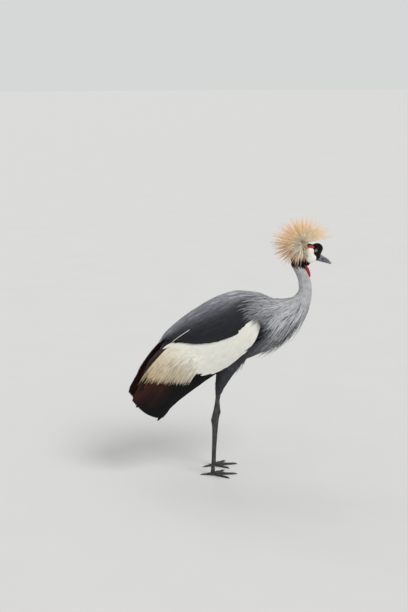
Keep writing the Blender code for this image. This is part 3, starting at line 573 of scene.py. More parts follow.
def ball(centre: Sequence[float], radii: Sequence[float]) -> BMesh:
    """A ball stretched to its three radii."""
    bm = bmesh.new()
    bmesh.ops.create_uvsphere(bm, u_segments=32, v_segments=20, radius=1.0)
    bmesh.ops.scale(bm, vec=Vector(radii), verts=bm.verts)
    bmesh.ops.translate(bm, vec=Vector(centre), verts=bm.verts)
    return bm


def grounded(form: BMesh) -> BMesh:
    """The form with all that would be below the floor pressed flat on to it."""
    for vert in form.verts:
        vert.co.z = max(vert.co.z, 0.0)
    return form


def straight(start: Array, end: Array, sizes: Sequence[Sequence[float]], less: float = 0.0) -> list[tuple]:
    """Stations of a straight limb for tube_rule().

    Args:
        start: Where it begins.
        end: Where it ends.
        sizes: Rows of share of the length, half width, half depth.
        less: What is taken off the half sizes.
    """
    return [(*(start + (end - start) * share), wide - less, deep - less) for share, wide, deep in sizes]


def tube_rule(stations: Sequence[Sequence[float]], ends: tuple = (None, None)) -> Tube:
    """The rule of a round limb through stations.

    Args:
        stations: Rows of x, y, z, half width, half depth.
        ends: Directions that the first and the last section are square to.

    Returns:
        A rule for wrapped().
    """
    table = np.asarray(stations, float)
    last = len(table) - 1
    lengths = np.concatenate(([0], np.cumsum(np.linalg.norm(np.diff(table[:, :3], axis=0), axis=1))))
    lengths = lengths / lengths[-1] * last

    def point_of(turns: Array, shares: Array) -> Array:
        places = np.interp(shares * lengths[-1], lengths, np.arange(len(table)))
        rows = smooth(table, places)
        after = smooth(table, np.minimum(places + 0.05, last))
        before = smooth(table, np.maximum(places - 0.05, 0))
        ahead = unit(after[:, :3] - before[:, :3])
        for end, at in zip(ends, (0.0, 1.0)):
            if end is not None:
                near = step(np.abs(shares - at), 0.06, 0.0)[:, None]
                ahead = unit(ahead * (1 - near) + np.asarray(end, float) * near)
        guide = np.where(np.abs(ahead[:, 2:]) < 0.8, (0, 0, 1), (1, 0, 0)).astype(float)
        across = unit(np.cross(guide, ahead))
        up = np.cross(ahead, across)
        angle = 2 * math.pi * turns
        wide, deep = rows[:, 3] * np.cos(angle), rows[:, 4] * np.sin(angle)
        return rows[:, :3] + across * wide[:, None] + up * deep[:, None]

    return point_of


def read(items: bpy.types.bpy_prop_collection, key: str, kind: type = float) -> Array:
    """A property with three values of every item, as rows."""
    values = np.empty(len(items) * 3, kind)
    items.foreach_get(key, values)
    return values.reshape(-1, 3)


def painted(mesh: bpy.types.Mesh, colours: Array) -> None:
    """Stores one colour for each point, where the finishes read it."""
    values = np.column_stack((colours, np.ones(len(colours))))
    layer = mesh.color_attributes.new("tint", "FLOAT_COLOR", "POINT")
    layer.data.foreach_set("color", values.reshape(-1))


# Feathers

@dataclass(frozen=True)
class Form:
    """Outline, section and build of one kind of feather."""

    outline: tuple[tuple[float, float], ...]
    stations: int
    thick: float
    broad: bool = False
    camber: float = 0.0
    rag: float = 0.0

    @property
    def section(self) -> Array:
        """The ring of a cross-section: place across and height."""
        if self.broad:
            spots = ((-1, 0), (-0.5, 0.7), (0, 1.1), (0.5, 0.7), (1, 0), (0.5, -0.3), (0, -0.5), (-0.5, -0.3))
        else:
            spots = ((-1, 0), (0, 1), (1, 0))
        return np.array(spots, float)


# Outlines: share of the length, share of the half width.
LANCE = ((0.0, 0.5), (0.3, 1.0), (0.6, 0.85), (0.85, 0.45), (1.0, 0.06))
HAIR = ((0.0, 0.7), (0.3, 1.0), (0.75, 0.7), (1.0, 0.12))
SHORT = ((0.0, 0.6), (0.5, 1.0), (0.8, 0.75), (1.0, 0.15))
BROAD = ((0.0, 0.35), (0.15, 0.75), (0.4, 1.0), (0.75, 0.95), (0.92, 0.62), (1.0, 0.12))
POINTED = ((0.0, 0.4), (0.2, 0.85), (0.5, 1.0), (0.75, 0.8), (0.92, 0.42), (1.0, 0.05))
SPIKE = ((0.0, 1.0), (0.5, 0.8), (1.0, 0.16))

DOWN_FORM = Form(SHORT, 4, 0.0005)
VELVET_FORM = Form(SHORT, 3, 0.0004)
NECK_FORM = Form(HAIR, 4, 0.0004)
PLUME_FORM = Form(LANCE, 8, 0.0006)
STRAW_FORM = Form(HAIR, 8, 0.0005)
BRISTLE_FORM = Form(SPIKE, 4, 0.0007)
SCAPULAR_FORM = Form(POINTED, 11, 0.0006, True, 0.10, 0.10)
COVERT_FORM = Form(POINTED, 9, 0.0003, True, 0.04, 0.04)
FLIGHT_FORM = Form(BROAD, 14, 0.0008, True, 0.10, 0.04)
BRISTLE_HALF_WIDTH = 0.00046


@dataclass
class Lay:
    """Paths of many like feathers: points and normals by feather and station, and root places."""

    points: Array
    normals: Array
    roots: Array

    @property
    def shares(self) -> Array:
        """Shares of the length of the stations."""
        return np.linspace(0, 1, self.points.shape[1])

    def profile(self, root: float, middle: float, tip: float, bend: float = 0.5) -> Array:
        """Heights by station that run from root over middle to tip."""
        return np.interp(self.shares, (0, bend, 1), (root, middle, tip))[None]

    def lifted(self, heights: Array) -> "Lay":
        """The paths raised along their normals, by feather and station."""
        return Lay(self.points + self.normals * heights[..., None], self.normals, self.roots)

    def resampled(self, stations: int) -> "Lay":
        """The paths with another number of stations, along a smooth curve."""
        count = self.points.shape[1]
        places = np.linspace(0, count - 1, stations)
        low = np.clip(np.floor(places).astype(int), 0, count - 2)
        f = (places - low)[None, :, None]
        made = []
        for data in (self.points, self.normals):
            p0, p1, p2, p3 = (data[:, np.clip(low + k, 0, count - 1)] for k in (-1, 0, 1, 2))
            square, cube = f * f, f * f * f
            rise = (2 * p0 - 5 * p1 + 4 * p2 - p3) * square + (3 * p1 - p0 - 3 * p2 + p3) * cube
            made.append(0.5 * (2 * p1 + (p2 - p0) * f + rise))
        return Lay(made[0], unit(made[1]), self.roots)


def over_wings(lay: Lay) -> Lay:
    """Paths carried out over the fronts of the folded wings, their roots left on the skin."""
    points, normals = lay.points.copy(), lay.normals.copy()
    start = np.minimum(lay.shares * 5, 1.0)
    for side in Side:
        flank = Flank(side)
        mine = (points[..., 1] * side.value > 0) & (points[..., 0] < CLOAK_FRONT)
        spots = points[mine]
        u = place_of(FLANK, spots[:, 0])
        _, top, waist, bottom, half = smooth(FLANK, u).T
        turn = np.arctan2(np.abs(spots[:, 1]) / half, (spots[:, 2] - waist) / (top - waist))
        v = np.where(spots[:, 2] > waist, turn * 2 / math.pi, 1 + (waist - spots[:, 2]) / (waist - bottom))
        here, _, _, out = flank.frame(u, v)
        share = step(spots[:, 0], CLOAK_FRONT, CLOAK_REAR) * step(v, 1.9, 1.3)
        share = (share * np.broadcast_to(start, mine.shape)[mine])[:, None]
        over = here + out * (CLOAK_HEIGHT * step(v, 0.2, 0.7))[:, None]
        points[mine] = spots * (1 - share) + over * share
        normals[mine] = unit(normals[mine] * (1 - share) + out * share)
    return Lay(points, normals, lay.roots)


def woven(name: str, places: Array) -> tuple[bpy.types.Mesh, Array]:
    """A mesh of closed tubes.

    Args:
        name: Name of the mesh.
        places: Points by tube, station and spot round the section.

    Returns:
        The mesh, and the point of each of its faces' corners.
    """
    count, stations, spots = places.shape[:3]
    index = np.arange(count * stations * spots).reshape(count, stations, spots)
    turned = np.roll(index, -1, axis=2)
    quads = np.stack((index[:, :-1], index[:, 1:], turned[:, 1:], turned[:, :-1]), -1).reshape(-1)
    caps = np.concatenate((index[:, 0].reshape(-1), index[:, -1, ::-1].reshape(-1)))
    corners = np.concatenate((quads, caps))
    sizes = np.concatenate((np.full(len(quads) // 4, 4), np.full(2 * count, spots)))
    mesh = bpy.data.meshes.new(name)
    mesh.vertices.add(index.size)
    mesh.vertices.foreach_set("co", places.reshape(-1))
    mesh.loops.add(len(corners))
    mesh.loops.foreach_set("vertex_index", corners)
    mesh.polygons.add(len(sizes))
    mesh.polygons.foreach_set("loop_start", np.concatenate(([0], np.cumsum(sizes)[:-1])))
    return mesh, corners


def feathers(
    name: str, lay: Lay, form: Form, half_width: Array | float, tint: Array, roll: Array | float, seed: int
) -> Object:
    """One joined mesh of thin, closed feathers along their paths.

    Args:
        name: Name of the piece.
        lay: Paths.
        form: Outline and section.
        half_width: Half of the greatest width, one or one for each feather.
        tint: Colours by feather and station.
        roll: Turn about the shaft, which lowers one edge.
        seed: Seed of the ragged edges.

    Returns:
        The piece, with its patches in OFBake, its own lengthwise map in Vane and its tint.
    """
    lay = lay.resampled(form.stations)
    count, stations = lay.points.shape[:2]
    ring = form.section
    draw = np.random.default_rng(seed)
    ahead = unit(np.gradient(lay.points, axis=1))
    across = unit(np.cross(ahead, lay.normals))
    up = np.cross(across, ahead)
    turn = np.broadcast_to(roll, (count,))[:, None, None]
    across, up = across * np.cos(turn) + up * np.sin(turn), up * np.cos(turn) - across * np.sin(turn)
    outline = np.interp(lay.shares, *np.array(form.outline).T)
    wide = np.broadcast_to(half_width, (count,))[:, None] * outline[None]
    uneven = 1 + form.rag * draw.uniform(-1, 1, (count, stations, 2))
    edge = np.where(ring[None, None, :, 0] < 0, uneven[..., :1], uneven[..., 1:])
    out = wide[..., None] * ring[:, 0] * edge
    swell = form.thick * np.minimum(1.0, wide / wide.max() * EDGE_SWELL)[..., None]
    high = swell * ring[:, 1] - form.camber * wide[..., None] * ring[:, 0] ** 2
    places = lay.points[:, :, None] + across[:, :, None] * out[..., None] + up[:, :, None] * high[..., None]
    mesh, corners = woven(name, places)
    length = np.linalg.norm(np.diff(lay.points, axis=1), axis=2).sum(1)
    local = np.empty((count, stations, len(ring), 2))
    local[..., 0] = ring[:, 0] * 0.5 + 0.5
    local[..., 1] = lay.shares[None, :, None]
    patch = unwrapped(lay.roots)[:, None, None] + (local - 0.5) * PATCH
    local[..., 1] *= length[:, None, None] * 10
    for label, data in (("OFBake", patch), ("Vane", local)):
        mesh.uv_layers.new(name=label).data.foreach_set("uv", data.reshape(-1, 2)[corners].reshape(-1))
    mesh.uv_layers["OFBake"].active_render = True
    mesh.uv_layers.active = mesh.uv_layers["OFBake"]
    last = tint.shape[1] - 1
    place = np.interp(lay.shares, np.linspace(0, 1, last + 1), np.arange(last + 1))
    low = np.minimum(place.astype(int), max(last - 1, 0))
    part = (place - low)[None, :, None]
    colours = tint[:, low] * (1 - part) + tint[:, np.minimum(low + 1, last)] * part
    painted(mesh, np.repeat(colours, len(ring), axis=1).reshape(-1, 3))
    mesh.update(calc_edges=True)
    mesh.validate()
    mesh.shade_smooth()
    mesh.set_sharp_from_angle(angle=SHARP_EDGE)
    return bpy.data.objects.new(name, mesh)


def unwrapped(roots: Array) -> Array:
    """Root places on an unwrap of the skin's own shape, stretched to fill the square."""
    low, high = roots.min(0), roots.max(0)
    return 0.01 + 0.98 * (roots - low) / np.maximum(high - low, 1e-9)


def varied(draw: np.random.Generator, colours: Array, amount: float) -> Array:
    """Colours by feather and station, each feather a little lighter or darker than the next."""
    tone = 1 + amount * draw.uniform(-1, 1, (len(colours), 1, 1))
    return np.clip(colours * tone, 0, 1)


def graded(count: int, *colours: Sequence[float]) -> Array:
    """The same run of colours from root to tip for every feather."""
    return np.broadcast_to(np.array(colours, float), (count, len(colours), 3)).copy()


# Materials

class Shading:
    """A node material under construction."""

    def __init__(self, name: str) -> None:
        """Starts the material."""
        self.material = bpy.data.materials.new(name)
        self.material.use_nodes = True
        self.tree = self.material.node_tree
        self.shader = self.tree.nodes["Principled BSDF"]

    def feed(self, target: Socket, value: object) -> None:
        """Links a socket or sets a constant."""
        if isinstance(value, Socket):
            self.tree.links.new(value, target)
        else:
            target.default_value = value

    def node(self, kind: str, inputs: dict | None = None, **settings: object) -> bpy.types.Node:
        """A new node.

        Args:
            kind: Its kind, without the words that all shader nodes begin with.
            inputs: What its sockets take, by their names or numbers.
            settings: Its own properties.
        """
        made = self.tree.nodes.new(f"ShaderNode{kind}")
        for key, value in settings.items():
            setattr(made, key, value)
        for key, value in (inputs or {}).items():
            self.feed(made.inputs[key], value)
        return made

    def surface(self, colour: Socket, **values: float) -> None:
        """Sets the shader's colour and the constants on its own sockets."""
        self.feed(self.shader.inputs["Base Color"], colour)
        for key, value in values.items():
            self.shader.inputs[key.replace("_", " ").title().replace("Ior", "IOR")].default_value = value

    def relief(self, height: Socket, distance: float, strength: float = 0.8) -> None:
        """Gives the surface a bump."""
        inputs = {"Strength": strength, "Distance": distance, "Height": height}
        self.feed(self.shader.inputs["Normal"], self.node("Bump", inputs).outputs[0])

    def number(self, operation: str, *values: object) -> Socket:
        """The result of a Math node."""
        return self.node("Math", dict(enumerate(values)), operation=operation).outputs[0]

    def vector(self, operation: str, *values: object) -> Socket:
        """The result of a Vector Math node."""
        made = self.node("VectorMath", dict(enumerate(values)), operation=operation)
        return made.outputs["Value" if operation == "LENGTH" else "Vector"]

    def between(
        self, value: Socket, low: float, high: float, to_low: float = 0.0, to_high: float = 1.0
    ) -> Socket:
        """A smooth passage of the value from one range to another."""
        inputs = dict(enumerate((value, low, high, to_low, to_high)))
        return self.node("MapRange", inputs, interpolation_type="SMOOTHSTEP").outputs[0]

    def mix(self, share: Socket, first: object, second: object) -> Socket:
        """The mix of two colours, each a socket or three numbers."""
        first, second = (value if isinstance(value, Socket) else (*value, 1) for value in (first, second))
        return self.node("Mix", {0: share, 6: first, 7: second}, data_type="RGBA").outputs[2]

    def scaled(self, colour: Socket, factor: object) -> Socket:
        """The colour times a number."""
        return self.node("VectorMath", {0: colour, "Scale": factor}, operation="SCALE").outputs[0]

    def here(self) -> Socket:
        """The object's own coordinates."""
        return self.node("TexCoord").outputs["Object"]

    def tint(self) -> Socket:
        """The mesh's own colours."""
        return self.node("Attribute", attribute_name="tint").outputs["Color"]

    def stretched(self, place: Socket, stretch: Triple) -> Socket:
        """Coordinates scaled along each axis."""
        return self.node("Mapping", {"Scale": stretch, "Vector": place}).outputs[0]

    def noise(
        self, scale: float, detail: float = 2.0, stretch: Triple = (1, 1, 1), place: Socket | None = None
    ) -> Socket:
        """Noise, on the object's own coordinates or on others."""
        place = self.stretched(self.here(), stretch) if place is None else place
        return self.node("TexNoise", {"Vector": place, "Scale": scale, "Detail": detail}).outputs["Fac"]

    def cells(self, scale: float, feature: str = "F1", stretch: Triple = (1, 1, 1)) -> Socket:
        """Distances in a cell pattern on the object's own coordinates."""
        inputs = {"Vector": self.stretched(self.here(), stretch), "Scale": scale}
        return self.node("TexVoronoi", inputs, feature=feature).outputs["Distance"]


@dataclass(frozen=True)
class Finish:
    """A material by its name."""

    name: str

    def build(self) -> Material:
        """Makes the material."""
        made = Shading(self.name)
        self.paint(made)
        return made.material

    def paint(self, made: Shading) -> None:
        """Sets colour, gloss and relief."""
        raise NotImplementedError


@dataclass(frozen=True)
class FeatherFinish(Finish):
    """Feather with barbs: its colour is the piece's tint, broken up along and across the vane."""

    roughness: float
    sheen: float
    barbs: float
    shaft: float
    streaks: float
    mottle: float
    shine: float = 0.3

    def paint(self, made: Shading) -> None:
        """Sets colour, gloss and relief."""
        vane = made.node("UVMap", uv_map="Vane").outputs[0]
        stretched = made.stretched(vane, (14.0, 1.6, 1.0))
        strand_place = made.vector("MULTIPLY_ADD", made.here(), (9.0, 9.0, 9.0), stretched)
        strands = made.noise(1.6, place=strand_place)
        light = made.between(strands, 0.3, 0.7, 1 - self.streaks, 1 + self.streaks)
        spots = made.between(made.noise(55.0, 3.0), 0.3, 0.7, 1 - self.mottle, 1 + self.mottle)
        colour = made.scaled(made.tint(), made.number("MULTIPLY", light, spots))
        height = strands
        if self.shaft or self.barbs:
            parts = made.node("SeparateXYZ", {0: vane}).outputs
            off = made.number("ABSOLUTE", made.number("MULTIPLY_ADD", parts[0], 2.0, -1.0))
            quill = made.between(off, 0.05, 0.14, 1.0, 0.0)
            colour = made.mix(made.number("MULTIPLY", quill, self.shaft), colour, made.scaled(colour, 2.2))
            phase = made.number("MULTIPLY_ADD", parts[1], 330.0, made.number("MULTIPLY", off, -14.0))
            ribs = made.number("MULTIPLY", made.number("SINE", phase), 0.5 * self.barbs)
            height = made.number("ADD", made.number("ADD", ribs, quill), height)
        made.surface(colour, roughness=self.roughness, sheen_weight=self.sheen, sheen_roughness=0.5,
                     specular_ior_level=self.shine)
        made.relief(height, 0.0004, 0.7)


class SkinFinish(Finish):
    """Skin under the coat: the same markings, darkened with painted shade, with fine down in its relief."""

    def paint(self, made: Shading) -> None:
        """Sets colour, gloss and relief."""
        spots = made.between(made.noise(140.0, 3.0), 0.3, 0.7, 0.75, 1.2)
        made.surface(made.scaled(made.tint(), spots), roughness=0.85, sheen_weight=0.2)
        made.relief(made.noise(420.0), 0.0008)


@dataclass(frozen=True)
class BareSkinFinish(Finish):
    """Bare, slightly moist skin with fine wrinkles and warts."""

    light: Triple
    dark: Triple
    warts: float
    gloss: float = 0.42
    depth: float = 0.00015

    def paint(self, made: Shading) -> None:
        """Sets colour, gloss and relief."""
        broad = made.noise(120.0, 3.0)
        pores = made.between(made.cells(self.warts), 0.15, 0.75)
        shade = made.number("MULTIPLY", pores, made.between(broad, 0.35, 0.7, 0.2, 0.8))
        made.surface(made.mix(shade, self.light, self.dark), roughness=self.gloss, subsurface_weight=0.15,
                     subsurface_scale=0.004)
        made.relief(made.number("SUBTRACT", made.number("MULTIPLY", broad, 0.8), pores), self.depth)


@dataclass(frozen=True)
class HornFinish(Finish):
    """Horn of bill or claw, in patches of two colours and with fine growth lines."""

    pale: Triple
    deep: Triple
    roughness: float = 0.36
    hollow: Triple | None = None

    def paint(self, made: Shading) -> None:
        """Sets colour, gloss and relief."""
        lines = made.noise(90.0, 4.0, (1.0, 3.0, 5.0))
        patches = made.between(made.noise(28.0), 0.35, 0.65, 0.0, 0.7)
        share = made.number("ADD", patches, made.between(lines, 0.35, 0.7, 0.0, 0.4))
        colour = made.mix(share, self.deep, self.pale)
        if self.hollow:
            # Painted shade: the nostril's opening is a dark slit in the colour, not a hole in the mesh.
            colour = made.mix(self.nostril(made), colour, (0.006, 0.006, 0.007))
        made.surface(colour, roughness=self.roughness, coat_weight=0.10, coat_roughness=0.35)
        made.relief(made.number("ADD", lines, made.noise(600.0, 2.0, (0.4, 1, 2))), 0.0003, 0.5)

    def nostril(self, made: Shading) -> Socket:
        """Share of the nostril's painted shade, a dark slit in each side, by its place in the middle plane.
        """
        inputs = {"Vector": made.vector("SUBTRACT", made.here(), self.hollow), "Angle": -BILL_SLOPE}
        turned = made.node("VectorRotate", inputs, rotation_type="Y_AXIS").outputs[0]
        length, height = NOSTRIL_HALF_SIZES
        flat = made.vector("MULTIPLY", turned, (1 / length, 0.0, 1 / height))
        return made.between(made.vector("LENGTH", flat), 0.8, 1.2, 1.0, 0.0)


class ScaleFinish(Finish):
    """Scaled leg skin: small net-like scales between the broad plates that the mesh holds."""

    def paint(self, made: Shading) -> None:
        """Sets colour, gloss and relief."""
        plates = made.between(made.cells(480.0, "DISTANCE_TO_EDGE", (1.0, 1.0, 0.7)), 0.0, 0.12)
        dust = made.between(made.noise(60.0, 4.0), 0.4, 0.75)
        worn = made.mix(dust, (0.020, 0.021, 0.024), (0.075, 0.072, 0.068))
        made.surface(made.mix(plates, (0.012, 0.012, 0.013), worn), roughness=0.5)
        made.relief(made.number("ADD", plates, made.number("MULTIPLY", dust, 0.3)), 0.0005)


@dataclass(frozen=True)
class EyeFinish(Finish):
    """Wet eye: black pupil, pale grey-blue iris with rays, dark rim."""

    centre: Triple

    def paint(self, made: Shading) -> None:
        """Sets colour, gloss and relief."""
        parts = made.node("SeparateXYZ", {0: made.vector("SUBTRACT", made.here(), self.centre)}).outputs
        flat = made.node("CombineXYZ", {0: parts[0], 2: parts[2]}).outputs[0]
        distance = made.vector("LENGTH", flat)
        turn = made.number("MULTIPLY", made.number("ARCTAN2", parts[0], parts[2]), 46.0)
        rays = made.between(made.number("SINE", turn), -1.0, 1.0, 0.0, 0.35)
        iris = made.mix(rays, (0.27, 0.31, 0.34), (0.42, 0.46, 0.48))
        colour = made.mix(made.between(distance, 0.0020, 0.0023), (0.004, 0.004, 0.005), iris)
        colour = made.mix(made.between(distance, 0.0040, 0.0052), colour, (0.015, 0.014, 0.014))
        made.surface(colour, roughness=0.06, coat_weight=1.0, coat_roughness=0.03, ior=1.38)


class FloorFinish(Finish):
    """Plain pale floor with a faint grain."""

    def paint(self, made: Shading) -> None:
        """Sets colour and gloss."""
        colour = made.mix(made.noise(4.0, 4.0), (0.585, 0.585, 0.58), (0.615, 0.615, 0.61))
        made.surface(colour, roughness=0.9)


# Markings, and colours with painted light and shade

BLACK = (0.004, 0.004, 0.005)
SOFT_BLACK = (0.010, 0.010, 0.012)
NECK_GREY = (0.46, 0.465, 0.48)
PLUME_GREY = (0.42, 0.43, 0.455)
MANTLE_GREY = (0.27, 0.272, 0.295)
# The back's own grey, lightened with painted light from above.
BACK_GREY_AND_TOP_LIGHT = (0.135, 0.138, 0.160)
SLATE = (0.027, 0.031, 0.040)
# Slate with painted shade, for the lowest scapulars.
DEEP_SLATE_AND_SHADE = (0.007, 0.009, 0.013)
THIGH_SLATE = (0.030, 0.033, 0.039)
BELLY = (0.050, 0.054, 0.062)
WHITE = (0.78, 0.78, 0.71)
CREAM = (0.72, 0.66, 0.50)
STRAW = (0.64, 0.48, 0.25)
TAWNY = (0.26, 0.14, 0.05)
CHESTNUT = (0.050, 0.014, 0.007)
GOLD = (0.92, 0.57, 0.27)
PALE_GOLD = (0.95, 0.77, 0.52)
STRAW_GOLD = (0.90, 0.66, 0.36)
CREST_CREAM = (1.0, 0.92, 0.79)
# Gold in painted shade, for the bristles that point down and back.
SHADED_BROWN_GOLD = (0.36, 0.21, 0.08)


class Axis:
    """The bird's centre line from the tail's root to the face, for reading where a point is."""

    head = ((0.309, 0, 0.768), (0.324, 0, 0.785), (0.342, 0, 0.789), (0.364, 0, 0.784), (0.389, 0, 0.7725))
    face_end = 16.0
    chunk = 20000

    def __init__(self) -> None:
        """Samples the line."""
        spine = np.linspace(0, NECK_END, 361)
        skull = np.linspace(NECK_END + 0.3, self.face_end, 81)
        self.places = np.concatenate((spine, skull))
        self.line = np.concatenate((Spine().inside(spine), smooth(self.head, np.linspace(0, 4, len(skull)))))
        self.ahead = unit(np.gradient(self.line, axis=0))

    def locate(self, points: Array) -> tuple[Array, Array, Array]:
        """Where points are along and round the line.

        Args:
            points: The points.

        Returns:
            Place along the stations, angle from the back, and the direction to the head.
        """
        nearest = np.empty(len(points), int)
        for start in range(0, len(points), self.chunk):
            some = slice(start, start + self.chunk)
            part = points[some, None, [0, 2]] - self.line[None, :, [0, 2]]
            nearest[some] = np.argmin(np.sum(part * part, axis=2), axis=1)
        ahead = self.ahead[nearest]
        offset = points - self.line[nearest]
        back = offset[:, 2] * ahead[:, 0] - offset[:, 0] * ahead[:, 2]
        return self.places[nearest], np.arctan2(points[:, 1], back), ahead


AXIS = Axis()


def leg_joints(side: Side) -> list[Array]:
    """Hip, knee, hock and ankle, with the left leg a step ahead."""
    steps = LEFT_STEP if side is Side.LEFT else (0.0,) * len(LEFT_STEP)
    places = zip((THIGH_TOP, THIGH_END, HOCK, ANKLE), steps)
    return [side.mirrored((place[0] + ahead, *place[1:])) for place, ahead in places]


def thigh_share(points: Array) -> tuple[Array, Array]:
    """How much each point belongs to a thigh, and the direction down that thigh."""
    best = np.full(len(points), 9.0)
    down = np.zeros_like(points)
    for side in Side:
        hip, knee = leg_joints(side)[:2]
        along = knee - hip
        share = np.clip((points - hip) @ along / (along @ along), 0, 1.2)
        radius = np.interp(share, (0, 0.3, 0.6, 0.85, 1.2), (0.045, 0.036, 0.023, 0.013, 0.011))
        away = np.linalg.norm(points - hip - share[:, None] * along, axis=1) / radius + 0.9 * (share < 0.30)
        nearer = away < best
        best = np.where(nearer, away, best)
        down[nearer] = unit(along)
    return 1 - step(best, 1.25, 1.6), down


def belly_share(angle: Array) -> Array:
    """0 on the back and 1 under the belly."""
    return 0.5 - 0.5 * np.cos(angle)


def black_edge(angle: Array) -> Array:
    """Height at which the black of the head ends on the neck, by the angle from the back."""
    return 0.749 + 0.006 * np.cos(angle)


def band_share(points: Array) -> Array:
    """How much each point lies under a wing's white band."""
    top, bottom = (np.interp(points[:, 0], *np.array(edge[::-1]).T) for edge in (BAND_TOP, BAND_BOTTOM))
    share = (points[:, 2] - bottom) / (top - bottom)
    inside = step(share, -0.05, 0.05) * step(share, 1.05, 0.95)
    return inside * step(np.abs(points[:, 1]), 0.070, 0.080) * step(points[:, 0], 0.165, 0.150)


def markings(points: Array) -> Array:
    """Colours of the plumage by place, shared by skin and coat, with painted light that lightens the top of
    the back.
    """
    place, angle, _ = AXIS.locate(points)
    height = points[:, 2]
    belly = belly_share(angle)
    chest = step(belly, 0.7, 1.0) * (1 - step(place, 7.0, 8.6))
    colour = np.broadcast_to(np.array(SLATE), points.shape)
    for other, share in (
        # Painted light: the top of the back lighter, over its own grey.
        (BACK_GREY_AND_TOP_LIGHT, (1 - step(belly, 0.1, 0.45)) * step(place, 0.5, 2.5)),
        (BELLY, step(belly, 0.55, 0.85)),
        (PLUME_GREY, step(place, 4.8, 7.2) * (1 - 0.55 * chest)),
        (NECK_GREY, step(place, 8.0, 9.0)),
        (THIGH_SLATE, thigh_share(points)[0]),
        (WHITE, band_share(points)),
        (BLACK, step(height - black_edge(angle), -0.003, 0.002) * step(place, 10.5, 11.0)),
        (PALE_GOLD, step(np.sqrt(reach(points, CREST_SKIN)), 1.06, 0.99) * step(height, 0.792, 0.802)),
    ):
        colour = blend(colour, other, share)
    return colour


def lie(points: Array) -> Array:
    """Directions in which the coat lies at points of the skin."""
    place, angle, ahead = AXIS.locate(points)
    flow = -ahead
    sink = np.interp(place, (0, 5, 7, 9, 16), (0.35, 1.0, 0.5, 0.0, 0.0))
    flow[:, 2] -= sink * (0.10 + 0.55 * belly_share(angle))
    thigh, down = thigh_share(points)
    return unit(flow * (1 - thigh[:, None]) + down * thigh[:, None])


# Skin

